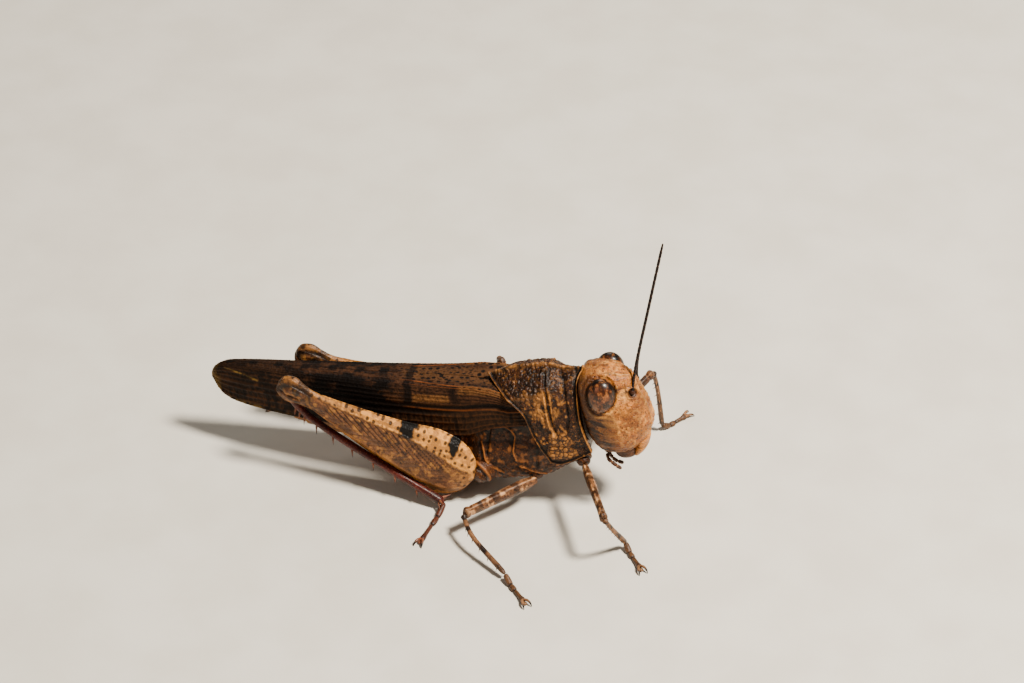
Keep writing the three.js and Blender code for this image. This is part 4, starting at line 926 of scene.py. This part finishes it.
# ---------------------------------------------------------------- trunk
THORAX_TOP = [[-4.2, -1.7], [0, -1.4], [4, -0.6], [8, -0.5], [9.3, -1.0]]
THORAX_BOTTOM = [[-4.2, -11.3], [-3, -11.45], [4, -11.2], [7, -10.1], [9.3, -8.8]]
THORAX_HALF = [[-4.2, 3.15], [0, 3.45], [4, 3.3], [7, 2.75], [9.3, 2.2]]
THORAX_GIRTH = [[0.25, 1], [0.62, 0.9], [0.72, 0.68], [0.8, 0.52], [1, 0.38], [1, 0.2], [0.88, 0.06], [0.5, 0]]
NECK_TOP = [[8.6, -1.1], [10.9, -0.9]]
NECK_BOTTOM = [[8.6, -8.0], [10.9, -7.2]]
NECK_HALF = [[8.6, 2.0], [10.9, 1.9]]
NECK_GIRTH = [[0.3, 1], [0.7, 0.9], [1, 0.6], [1, 0.3], [0.6, 0.06], [0.2, 0]]
ABDOMEN_TOP = [[-23, -3.1], [-22, -2.4], [-18, -1.3], [-10, -1.45], [-4.3, -1.75]]
ABDOMEN_BOTTOM = [[-23, -4.7], [-22, -5.3], [-20, -6.2], [-16, -7.7], [-12, -9.0], [-8, -10.1], [-4.3, -11.0]]
ABDOMEN_HALF = [[-23, 0.8], [-22, 1.2], [-18, 1.75], [-12, 2.3], [-4.3, 2.6]]
ABDOMEN_GIRTH = [[0.2, 1], [0.55, 0.92], [0.84, 0.75], [1, 0.5], [0.92, 0.24], [0.62, 0.07], [0.22, 0]]


def trunk(x, girth, tables, sides):
    """Rings along x whose section runs smoothly through the girth's points."""
    top, bottom, half = (through(table)(x)[:, None] for table in tables)
    right = [[-across, up] for across, up in reversed(girth)]
    loop = np.array([*girth, *right, girth[0]], float)
    share = np.linspace(0, len(loop) - 1, sides, endpoint=False)
    before, after = np.vstack([loop[-2], loop[:-1]]), np.vstack([loop[1:], loop[1]])
    slope = (after - before) / 2
    slope[-1] = slope[0]
    i = share.astype(int)
    t = (share - i)[:, None]
    even = (2 * t**3 - 3 * t**2 + 1) * loop[i] + (3 * t**2 - 2 * t**3) * loop[i + 1]
    section = even + (t**3 - 2 * t**2 + t) * slope[i] + (t**3 - t**2) * slope[i + 1]
    across, up = section[None, :, 0], section[None, :, 1]
    return np.stack([x[:, None] + 0 * across, across * half, bottom + up * (top - bottom)], axis=-1), up + 0 * half


def thorax():
    x = np.linspace(-4.2, 9.3, 190)
    rings, up = trunk(x, THORAX_GIRTH, (THORAX_TOP, THORAX_BOTTOM, THORAX_HALF), 230)
    way = outward_normals(rings)
    flat = rings[..., [0, 2]]
    side = smooth(np.abs(rings[..., 1]), 1.4, 2.0)
    grooves = (
        ([0.2, -3.6], [-0.6, -6.2], [-0.9, -7.6]),
        ([4.9, -4.0], [4.6, -7.0], [4.2, -9.2]),
        ([-3.4, -4.6], [-3.2, -7.0], [-2.8, -8.2]),
    )
    ridges = (
        ([1.5, -4.7], [2.1, -5.1], [2.35, -5.8], [2.05, -7.2], [2.25, -8.3]),
        ([-1.3, -6.4], [-1.08, -7.3], [-1.0, -8.3], [-0.5, -9.1], [0.6, -9.9]),
        ([2.4, -9.0], [3.6, -9.7], [4.9, -10.4]),
        ([5.6, -8.9], [6.8, -8.8], [7.8, -8.4]),
    )
    groove = sum(ridge(to_line(flat, *joints), 0.15) for joints in grooves)
    crest = sum(ridge(to_line(flat, *joints), 0.1) for joints in ridges)
    beside = sum(ridge(to_line(flat + [0.3, 0.12], *joints), 0.16) for joints in ridges)
    lumps, gap = nearest_cell(rings, 0.62, 71, 0.9)
    height = 0.17 * crest - 0.16 * groove - 0.1 * beside
    height += 0.07 * smooth(gap - lumps, 0, 0.5) + 0.14 * (noise(rings, 0.9, 73, 3) - 0.5)
    plate_edge = ridge(rings[..., 0] - 4.6, 0.12) + ridge(rings[..., 0] + 0.3, 0.12)
    height = height * (0.35 + 0.65 * side) - 0.12 * plate_edge * (1 - side)
    # The pale along the side ridges is partly their own pale colour and partly painted highlight on their shiny crests.
    pale = np.clip(0.85 * crest ** 2 * side + 0.42 * smooth(noise(rings, 0.42, 75, 2), 0.56, 0.68), 0, 1)
    # Painted shadow: `beside` darkens the hollow on the back lower side of each ridge, as if the ridge cast it.
    dark = np.clip(0.8 * groove * side + 0.5 * beside * side + 0.5 * smooth(lumps, 0.35, 0.6) + 0.6 * smooth(up, 0.45, 0.7), 0, 1)
    shape = Shape()
    shape.rings(on_body(rings + way * height[..., None]), pale=pale, dark=dark * (1 - pale))
    neck, up = trunk(np.linspace(8.6, 10.9, 50), NECK_GIRTH, (NECK_TOP, NECK_BOTTOM, NECK_HALF), 120)
    folds = 0.06 * np.sin(neck[..., 0] * 12)
    shape.rings(on_body(neck + outward_normals(neck) * folds[..., None]), pale=0.1, dark=0.7)
    shape.build("thorax_sides", PLEURA, "body", "thorax")


SEGMENT_EDGES = (-21.9, -20.6, -18.9, -16.8, -14.5, -12.1, -9.7, -7.2)


def abdomen():
    x = np.linspace(-23, -4.3, 260)
    rings, up = trunk(x, ABDOMEN_GIRTH, (ABDOMEN_TOP, ABDOMEN_BOTTOM, ABDOMEN_HALF), 120)
    way = outward_normals(rings)
    along = rings[..., 0]
    step = sum(smooth(along, edge - 0.05, edge + 0.06) - smooth(along, edge, edge + 2.0) for edge in SEGMENT_EDGES)
    fold = ridge(up - 0.36 - 0.02 * np.sin(along * 2.6), 0.035)
    height = 0.13 * step - 0.16 * fold + 0.05 * (noise(rings, 0.7, 81, 3) - 0.5) - 0.06
    edges = sum(ridge(along - edge - 0.1, 0.16) for edge in SEGMENT_EDGES)
    dark = np.clip(0.55 * smooth(up, 0.42, 0.62) * smooth(noise(rings, 1.4, 83, 2), 0.35, 0.6) + 0.45 * fold, 0, 1)
    dark = np.maximum(dark, 0.5 * sum(ridge(along - edge + 0.2, 0.18) for edge in SEGMENT_EDGES) * smooth(up, 0.3, 0.5))
    shape = Shape()
    shape.rings(on_body(rings + way * height[..., None]), pale=np.clip(0.45 * edges, 0, 1), dark=dark)
    for _, sign in SIDES:
        root = np.array([-21.9, sign * 0.9, -3.5])
        route = path(root, root + [-0.7, sign * 0.12, -0.05], root + [-1.4, sign * 0.15, -0.1])
        thick = through([[0, 0.56], [0.5, 0.48], [1, 0.18]])
        cercus, t, _ = rod(route, thick, thick, [0, 0, 1], 30, 20, ends=(0, 0.15))
        shape.rings(on_body(cercus), pale=0.3, dark=0.3 * smooth(t, 0.6, 1))
    shape.build("abdomen_rings", BELLY, "body", "abdomen")


def ovipositor():
    shape = Shape()
    root = np.array([-23.0, 0, -3.9])
    thick = through([[0, 1.45], [0.5, 1.25], [1, 0.9]])
    base, t, _ = rod(path(root, root + [-0.5, 0, 0], root + [-1.05, 0, 0]), thick, thick, [0, 0, 1], 24, 40, ends=(0, 0.2))
    shape.rings(on_body(base), pale=0.1, dark=0.2)
    for _, sign in SIDES:
        for rise in (1, -1):
            steps = ([-0.4, sign * 0.3, 0.3 * rise], [-1.4, sign * 0.35, 0.35 * rise], [-2.35, sign * 0.35, 0.85 * rise])
            route = path(*(root + step for step in steps))
            thick = through([[0, 0.75], [0.5, 0.6], [0.85, 0.36], [1, 0.12]])
            valve, t, angle = rod(route, thick, thick, [0, 0, 1], 50, 24, ends=(0, 0.08))
            shape.rings(on_body(valve), pale=0.2 * (1 - t), dark=0.95 * smooth(t, 0.55, 0.9))
    shape.build("egg_laying_valves", BELLY, "body", "ovipositor")


thorax()
abdomen()
ovipositor()

# ---------------------------------------------------------------- walking legs
LEGS = {
    "fore": {
        "coxa": [8.5, -1.25, -8.2], "hip": [9.15, -2.95, -9.25], "stoutness": 1.0, "bow": 0.2,
        "right": ([14.3, -10.6, 6.2], [15.9, -7.4, 0.75], [18.0, -10.2, 0.22]),
        "left": ([15.0, 10.2, 8.95], [15.95, 11.6, 0.8], [18.0, 14.4, 0.22]),
    },
    "mid": {
        "coxa": [3.4, -1.7, -10.0], "hip": [3.8, -3.05, -11.0], "stoutness": 1.15, "bow": 0.5,
        "right": ([-0.5, -9.4, 2.86], [5.2, -14.8, 0.75], [7.8, -17.7, 0.22]),
        "left": ([-1.25, 8.9, 8.9], [1.6, 11.7, 0.8], [2.9, 15.4, 0.22]),
    },
}
HIND_COXA, HIND_HIP = [-1.4, -2.4, -9.5], [-2.4, -4.3, -10.1]
HIND_KNEE = {"right": [-21.5, -3.6, 1.65], "left": [-22.2, -3.6, 0.15]}
HIND_ANKLE, HIND_TOE = [-3.4, -5.8, 0.75], [-4.4, -11.4, 0.22]
SHIN_ROOT, SHIN_NECK = [0.5, 0, -0.8], [2.4, -0.05, -4.15]
UP, FORWARD = [0, 0, 1], [1, 0, 0]


def sided(place, sign):
    return np.array(place, float) * [1, -sign, 1]


def coxa(label, root, hip, sign, size):
    route = straight(sided(root, sign), sided(hip, sign))
    thick = through([[0, 2.2 * size], [0.55, 1.85 * size], [1, 1.0 * size]])
    rings, t, angle = rod(route, thick, thick, FORWARD, 46, 56, ends=(0, 0.12))
    way = outward_normals(rings)
    crease = ridge(t - 0.72, 0.045)
    rim = ridge(t - 0.5 - 0.1 * np.cos(angle), 0.05)
    height = 0.05 * (noise(rings, 0.6, 91, 2) - 0.5) - 0.12 * crease + 0.06 * rim
    shape = Shape()
    shape.rings(on_body(rings + way * height[..., None]), dark=np.clip(0.7 * crease, 0, 1), pale=0.5 * rim)
    shape.build(f"hip_{label}", PLEURA, "body", f"coxa_{label}")


def spine(shape, foot, heading, length, thick, dark_from=0.55, sides=10):
    """A tapering spine from a foot point along a heading."""
    heading = unit(np.array(heading, float))
    bend = unit(np.cross(heading, [0.31, 0.17, 0.93]))
    route = path(foot, foot + heading * length * 0.5 + bend * length * 0.02, foot + heading * length)
    taper = through([[0, thick], [0.25, 0.72 * thick], [1, 0.06 * thick]])
    rings, t, _ = rod(route, taper, taper, bend, 12, sides)
    shape.rings(rings, dark=smooth(t, dark_from, dark_from + 0.25), pale=0.35 * (1 - t))


def leg_femur(label, hip, knee, stoutness, seed):
    depth = through([[0, 0.8], [0.25, 1.22 * stoutness], [0.7, 1.05 * stoutness], [0.9, stoutness],
                     [0.96, 1.2 * stoutness], [1, 0.9]])
    width = through([[0, 0.7], [0.25, 0.98 * stoutness], [0.8, 0.8 * stoutness], [0.96, 0.92], [1, 0.7]])
    rings, t, angle = rod(straight(hip, knee), width, depth, UP, 150, 44, ends=(0.03, 0.05))
    way = outward_normals(rings)
    keels = sum(ridge(np.angle(np.exp(1j * (angle - place))), 0.16) for place in (0.5, -0.5, 2.4, -2.4))
    height = 0.045 * keels - 0.03 + 0.04 * (noise(rings, 0.5, seed, 2) - 0.5) - 0.06 * ridge(t - 0.9, 0.012)
    ragged = 0.1 * (noise(rings, 0.7, seed + 1, 2) - 0.5)
    bands = sum(smooth(0.055 - np.abs(t + ragged - place), 0, 0.03) for place in (0.3, 0.56, 0.8))
    dark = np.clip(0.7 * bands + 0.5 * ridge(t - 0.97, 0.03), 0, 1)
    dark = np.maximum(dark, 0.55 * smooth(noise(rings, 0.45, seed + 2, 2), 0.52, 0.64))
    pale = (0.4 * keels + 0.7 * smooth(noise(rings, 0.5, seed + 3, 2), 0.54, 0.66)) * (1 - dark)
    shape = Shape()
    shape.rings(on_floor(rings + way * height[..., None]), dark=dark, pale=np.clip(pale, 0, 1))
    shape.build(f"thigh_{label}", LEG, "leg", f"femur_{label}")


def leg_tibia(label, hip, knee, ankle, bow, seed):
    thick = through([[0, 0.55], [0.06, 0.7], [0.13, 0.52], [0.5, 0.52], [0.92, 0.6], [1, 0.5]])
    heading = unit(ankle - knee)
    beyond = unit(knee - hip)
    outward = unit(beyond - heading * (beyond @ heading))
    route = path(knee, knee + 0.3 * (ankle - knee) + bow * outward, ankle)
    rings, t, angle = rod(route, thick, thick, FORWARD, 120, 32, ends=(0.06, 0.04))
    way = outward_normals(rings)
    height = 0.03 * (noise(rings, 0.4, seed, 2) - 0.5) - 0.02
    ragged = 0.12 * (noise(rings, 0.6, seed + 1, 2) - 0.5)
    bands = sum(smooth(0.07 - np.abs(t + ragged - place), 0, 0.04) for place in (0.08, 0.4, 0.7))
    dark = np.clip(0.3 + 0.6 * bands + 0.4 * smooth(t, 0.7, 1), 0, 1)
    shape = Shape()
    shape.rings(on_floor(rings + way * height[..., None]), dark=dark, pale=0.25 * (1 - dark))
    along = unit(np.array(ankle, float) - knee)
    under = unit(np.cross(along, np.cross([0, 0, -1], along)))
    aside = np.cross(along, under)
    for row in range(6):
        for hand in (-1, 1):
            out = unit(under * 0.6 + aside * hand * 0.8)
            spot = on_floor(route(np.array(0.36 + 0.115 * row + 0.03 * hand))) + out * 0.2
            spine(shape, spot, out * 0.8 + along * 0.75, 0.42, 0.15)
    shape.build(f"shin_{label}", LEG, "leg", f"tibia_{label}")


def tarsus(label, ankle, toe, paint, slot, seed):
    """A foot of three jointed pads with two claws and a soft pad between them."""
    ankle, toe = np.array(ankle, float), np.array(toe, float)
    sole = ankle + 0.3 * (toe - ankle)
    sole[2] = toe[2]
    thick = through([[0, 0.5], [0.1, 0.6], [0.2, 0.66], [0.31, 0.6], [0.345, 0.44], [0.38, 0.56], [0.47, 0.62], [0.54, 0.5],
                     [0.565, 0.38], [0.62, 0.42], [0.8, 0.46], [0.93, 0.62], [1, 0.4]])
    rings, t, angle = rod(path(ankle, sole, (sole + toe) / 2, toe), thick, thick, UP, 130, 30, ends=(0.05, 0.04))
    rings[..., 2] = np.maximum(rings[..., 2], 0)
    joints = ridge(t - 0.345, 0.018) + ridge(t - 0.565, 0.018)
    shape = Shape()
    dark = np.clip(0.5 + 0.5 * joints + 0.25 * smooth(t, 0.8, 1), 0, 1)
    shape.rings(on_floor(rings), dark=dark, pale=0.25 * (1 - dark))
    ahead = unit((toe - sole) * [1, 1, 0])
    aside = np.cross(UP, ahead)
    for hand in (-1, 1):
        steps = ((-0.2, 0.1, 0.32), (0.25, 0.3, 0.46), (0.62, 0.4, 0.34), (0.86, 0.44, 0.05))
        route = path(*(toe * [1, 1, 0] + ahead * far + aside * hand * out + np.array([0, 0, rise]) for far, out, rise in steps))
        taper = through([[0, 0.32], [0.6, 0.22], [1, 0.04]])
        claw, along, _ = rod(route, taper, taper, UP, 26, 14)
        claw[..., 2] = np.maximum(claw[..., 2], 0)
        shape.rings(on_floor(claw), dark=smooth(along, 0.35, 0.7), pale=0.2)
    pad, _, _ = ball(toe * [1, 1, 0] + ahead * 0.22 + [0, 0, 0.17], np.array([0.24, 0.24, 0.15]), 16, 24)
    shape.rings(on_floor(pad), dark=0.4, pale=0.3)
    shape.build(f"foot_{label}", paint, slot, f"tarsus_{label}")


def body_on_floor(place, sign):
    return pitched(sided(place, sign))


for leg_name, leg in LEGS.items():
    for side_name, side_sign in SIDES:
        leg_label = f"{leg_name}_{side_name}"
        leg_knee, leg_ankle, leg_toe = leg[side_name]
        leg_seed = 200 + 10 * len(leg_label) + side_sign
        coxa(leg_label, leg["coxa"], leg["hip"], side_sign, 1.0)
        leg_hip = body_on_floor(leg["hip"], side_sign)
        leg_femur(leg_label, leg_hip, np.array(leg_knee), leg["stoutness"], leg_seed)
        leg_tibia(leg_label, leg_hip, np.array(leg_knee), np.array(leg_ankle), leg["bow"], leg_seed + 3)
        tarsus(leg_label, leg_ankle, leg_toe, LEG, "leg", leg_seed + 5)

# ---------------------------------------------------------------- jumping legs
THIGH_DEPTH = [[0, 2.8], [0.05, 5.6], [0.12, 7.5], [0.19, 8.3], [0.26, 8.4], [0.33, 7.9], [0.4, 7.0], [0.5, 5.9],
               [0.7, 3.8], [0.83, 2.5], [0.89, 3.1], [0.935, 3.7], [0.97, 3.2], [1, 1.9]]
THIGH_WIDTH = [[0, 1.2], [0.15, 2.4], [0.4, 2.3], [0.7, 1.6], [0.86, 1.35], [0.94, 1.7], [1, 1.1]]
THIGH_SECTION = [[0, 1], [0.5, 0.86], [0.9, 0.55], [1, 0], [0.9, -0.5], [0.4, -0.8], [0, -1]]
THIGH_BOW = 0.35
HERRINGBONE_STEP = 1.05


def thigh_outline(angle):
    """The keeled section of the thigh, from up round the side."""
    across, along = np.array(THIGH_SECTION).T
    share = np.abs((angle + np.pi) % (2 * np.pi) - np.pi) / np.pi * (len(across) - 1)
    rows = np.arange(len(across))
    return np.sign(np.sin(angle)) * np.interp(share, rows, across), np.interp(share, rows, along)


def thigh(name, sign):
    hip, knee = sided(HIND_HIP, sign), sided(HIND_KNEE[name], sign)
    bow = hip + 0.45 * (knee - hip) + [0, sign * THIGH_BOW, 0]
    route = path(*(pitched(place) for place in (hip, bow, knee)))
    rings, t, angle = rod(route, through(THIGH_WIDTH), through(THIGH_DEPTH), UP, 340, 168, thigh_outline, ends=(0.035, 0.015))
    way = outward_normals(rings)
    turn = (angle + np.pi) % (2 * np.pi) - np.pi
    share = np.abs(turn) / np.pi * 6
    length = np.linalg.norm(knee - hip) * t
    half_depth = through(THIGH_DEPTH)(t) / 2
    face = through([[0, 1], [1, 0.86], [2, 0.55], [3, 0], [4, -0.5], [5, -0.8], [6, -1]])(share)
    down = face * half_depth
    body_part = smooth(t, 0.05, 0.1) * smooth(t, 0.84, 0.78)
    carina = through([[0, 0.8], [0.12, 1.4], [0.24, 1.9], [0.4, 2.2], [0.6, 1.7], [0.75, 1.2], [0.85, 0.9]])(t)
    above = down - carina
    wave = 0.12 * (noise(rings, 1.2, 301, 2) - 0.5)
    face_part = smooth(t, 0.1, 0.17) * smooth(t, 0.82, 0.74)
    bone = (length - 1.9 * down) / HERRINGBONE_STEP + wave
    groove = ridge(np.abs(bone - np.round(bone)), 0.13) * smooth(above, -0.05, -0.25) * smooth(down, -0.5, 0.1) * face_part
    bone_low = (length + 1.5 * down) / HERRINGBONE_STEP + wave
    groove_low = ridge(np.abs(bone_low - np.round(bone_low)), 0.13) * smooth(down, 0.1, -0.3) * smooth(share, 4.1, 3.9) * face_part
    upper_line, lower_line = ridge(above, 0.13), ridge(share - 4.1, 0.1)
    top_keel, low_keel = ridge(share, 0.16), ridge(share - 6, 0.2)
    lobe = smooth(t, 0.82, 0.86)
    arc = np.hypot((length - 20.4) / 1.5, (down - 0.05) / 1.1)
    crescent = ridge(arc - 1, 0.36) * smooth(down, -0.7, 0.0) * lobe
    knee_groove = ridge(down + 0.25, 0.12) * smooth(t, 0.87, 0.9) * smooth(t, 0.985, 0.96)
    height = 0.1 * upper_line * body_part + 0.1 * lower_line * body_part - 0.09 * groove - 0.05 * groove_low
    height += 0.1 * top_keel * body_part + 0.1 * low_keel * body_part + 0.1 * ridge(arc - 0.6, 0.25) * lobe
    height += 0.05 * (noise(rings, 0.9, 303, 3) - 0.5) - 0.14 * knee_groove - 0.08 - 0.1 * crescent
    dot, _ = nearest_cell(np.stack([length, down], -1), 0.78, 305, 0.6)
    dots = 1 - smooth(dot, 0.18, 0.28)
    upper_zone = smooth(above, -0.05, 0.12) * smooth(t, 0.9, 0.82)
    low_zone = smooth(share, 4.0, 4.3)
    base_zone = 0.6 * smooth(length - 0.7 * down, 3.4, 2.0) * (share < 4.4)
    hump = smooth(arc, 1.15, 1.3) * smooth(down, 0.2, 0.8) * lobe
    cream = ridge(np.hypot((length - 21.3) / 0.36, (down + 0.05) / 0.16), 0.9) * smooth(t, 0.9, 0.93)
    pale = 0.95 * upper_zone + 0.3 * low_zone + 0.45 * base_zone + 0.3 * lower_line + 0.4 * upper_line * body_part
    pale = pale * (1 - 0.6 * smooth(t, 0.55, 0.85)) + 0.3 * hump + cream + 0.3 * smooth(down, -0.5, -0.9) * lobe
    pale = pale + 0.5 * top_keel * body_part + 0.8 * ridge(t - 0.012, 0.012)
    pale = np.clip(pale, 0, 1) * (0.45 + 0.55 * smooth(noise(rings, 0.5, 309, 3), 0.42, 0.58))
    pale = np.maximum(pale, 0.4 * smooth(noise(rings, 0.42, 315, 2), 0.56, 0.68))
    ragged = 1.7 * (noise(rings, 0.75, 307, 3) - 0.5)
    bands = 0
    for middle, wide, slope, deepest in ((9.75, 1.3, -0.35, 2.0), (3.8, 0.78, -0.2, 2.3), (14.6, 0.5, -0.2, 1.1)):
        across = wide - np.abs(length + ragged - middle - slope * (3.4 - down)) - 0.45 * np.maximum(3.4 - down, 0) * wide
        bands = bands + smooth(across, -0.1, 0.25) * smooth(down, deepest - 0.3, deepest + 0.2)
    dark = np.clip(bands + 0.85 * groove + 0.4 * groove_low + 0.95 * crescent, 0, 1)
    sparse = smooth(noise(rings, 1.3, 317, 1), 0.5, 0.6)
    dark = np.maximum(dark, 0.9 * dots * np.clip(upper_zone + base_zone + 0.7 * sparse + hump, 0, 1) * (t < 0.97))
    dark = np.maximum(dark, 0.5 * knee_groove)
    near_edge = np.abs(length / 0.82 - np.round(length / 0.82))
    dark = np.maximum(dark, 0.8 * ridge(near_edge, 0.17) * (ridge(above, 0.16) + top_keel) * body_part)
    dark = np.maximum(dark, 0.4 * smooth(noise(rings, 0.8, 311, 3), 0.5, 0.62) * (1 - 0.6 * upper_zone))
    dark = np.maximum(dark, (0.35 + 0.5 * smooth(noise(rings, 0.55, 313, 3), 0.4, 0.56)) * smooth(t, 0.8, 0.88))
    shape = Shape()
    shape.rings(on_floor(rings + way * height[..., None]), pale=pale, dark=np.clip(dark, 0, 1))
    shape.build(f"jumping_thigh_{name}", THIGH, "hind_femur", f"femur_hind_{name}")


def shin_route(name, sign):
    knee = np.array(HIND_KNEE[name], float)
    start, neck = (body_on_floor(knee + step, sign) for step in (SHIN_ROOT, SHIN_NECK))
    return path(start, neck, sided(HIND_ANKLE, sign))


SPINE_PAIRS = 9


def shin(name, sign):
    route = shin_route(name, sign)
    thick = through([[0, 0.9], [0.06, 1.15], [0.14, 0.84], [0.5, 0.8], [0.9, 0.88], [0.97, 1.02], [1, 0.9]])
    rings, t, angle = rod(route, thick, thick, UP, 260, 44, ends=(0.02, 0.02))
    way = outward_normals(rings)
    height = 0.03 * (noise(rings, 0.5, 311, 2) - 0.5) - 0.02 - 0.03 * ridge(np.angle(np.exp(1j * angle)), 0.35)
    pale = np.clip(0.9 * smooth(t, 0.2, 0.12) + 0.3 * ridge(t - 0.22, 0.02), 0, 1)
    dark = np.clip(0.7 * ridge(t - 0.09, 0.012) + 0.55 * smooth(t, 0.15, 0.17) * smooth(t, 0.21, 0.18) + 0.35 * smooth(t, 0.85, 1), 0, 1)
    shape = Shape()
    shape.rings(on_floor(rings + way * height[..., None]), pale=pale, dark=dark)

    def grow(place, turn, length, thickness):
        along = unit(route(np.array(min(place + 0.01, 1.0))) - route(np.array(place - 0.01)))
        down = unit(np.array([0, 0, -1]) + along * along[2])
        out = down * math.cos(turn) + np.cross(along, down) * math.sin(turn)
        spine(shape, on_floor(route(np.array(place))) + out * 0.34, out * 0.8 + along * 0.6, length, thickness, 0.6)

    for place in np.linspace(0.32, 0.88, SPINE_PAIRS):
        grow(place, 0.75, 0.88, 0.26)
        grow(place + 0.03, -0.75, 0.88, 0.26)
    for turn in (-2.2, -1.5, 1.5, 2.2):
        grow(0.985, turn, 1.3, 0.28)
    shape.build(f"jumping_shin_{name}", SHIN, "hind_tibia", f"tibia_hind_{name}")


for side_name, side_sign in SIDES:
    coxa(f"hind_{side_name}", HIND_COXA, HIND_HIP, side_sign, 1.5)
    thigh(side_name, side_sign)
    shin(side_name, side_sign)
    tarsus(f"hind_{side_name}", sided(HIND_ANKLE, side_sign), sided(HIND_TOE, side_sign), SHIN, "hind_tibia", 400)

# ---------------------------------------------------------------- camera, light and floor
AZIMUTH, ELEVATION = math.radians(13.5), math.radians(38)
DISTANCE = 283.0
AIM = np.array([2.35, 0.0, 18.41])
LENS, SENSOR = 99.49, 36.0


def camera():
    back = np.array([math.sin(AZIMUTH) * math.cos(ELEVATION), -math.cos(AZIMUTH) * math.cos(ELEVATION), math.sin(ELEVATION)])
    data = bpy.data.cameras.new("camera")
    data.lens, data.sensor_width = LENS, SENSOR
    data.clip_start, data.clip_end = 0.01, 10
    eye_point = bpy.data.objects.new("camera", data)
    eye_point.location = Vector((AIM + SHIFT + DISTANCE * back) * MM)
    eye_point.rotation_euler = Vector(-back).to_track_quat("-Z", "Y").to_euler()
    bpy.context.scene.collection.objects.link(eye_point)
    bpy.context.scene.camera = eye_point


def lamp(name, place, size, power, color):
    data = bpy.data.lights.new(name, "AREA")
    data.shape, data.size, data.energy, data.color = "DISK", size, power, color
    light = bpy.data.objects.new(name, data)
    light.location = place
    light.rotation_euler = (-Vector(place)).to_track_quat("-Z", "Y").to_euler()
    bpy.context.scene.collection.objects.link(light)


def studio():
    lamp("key", (0.19, -0.04, 0.33), 0.07, 3.9, (1.0, 0.94, 0.84))
    lamp("fill", (-0.22, -0.36, 0.24), 0.34, 0.3, (1.0, 0.97, 0.94))
    lamp("back", (-0.1, 0.34, 0.26), 0.2, 0.4, (1.0, 0.96, 0.9))
    world = bpy.data.worlds.new("studio")
    world.use_nodes = True
    world.node_tree.nodes["Background"].inputs["Color"].default_value = (1.0, 0.93, 0.83, 1)
    world.node_tree.nodes["Background"].inputs["Strength"].default_value = 0.13
    bpy.context.scene.world = world


def floor():
    paint = Paint("pale_floor")
    color = paint.blend(paint.span(paint.noise(9, 3), 0.3, 0.7), tone(214, 206, 192), tone(222, 215, 202))
    material = paint.finish(color, 0.85, paint.bump(paint.noise(0.6, 2), 0.01), **{"Specular IOR Level": 0.2})
    reach = 1.6
    mesh = bpy.data.meshes.new("floor")
    corners = [(-reach, -reach, 0), (reach, -reach, 0), (reach, reach, 0), (-reach, reach, 0)]
    mesh.from_pydata(corners, [], [(0, 1, 2, 3)])
    mesh.materials.append(material)
    ground = bpy.data.objects.new("floor", mesh)
    bpy.context.scene.collection.objects.link(ground)


camera()
studio()
floor()
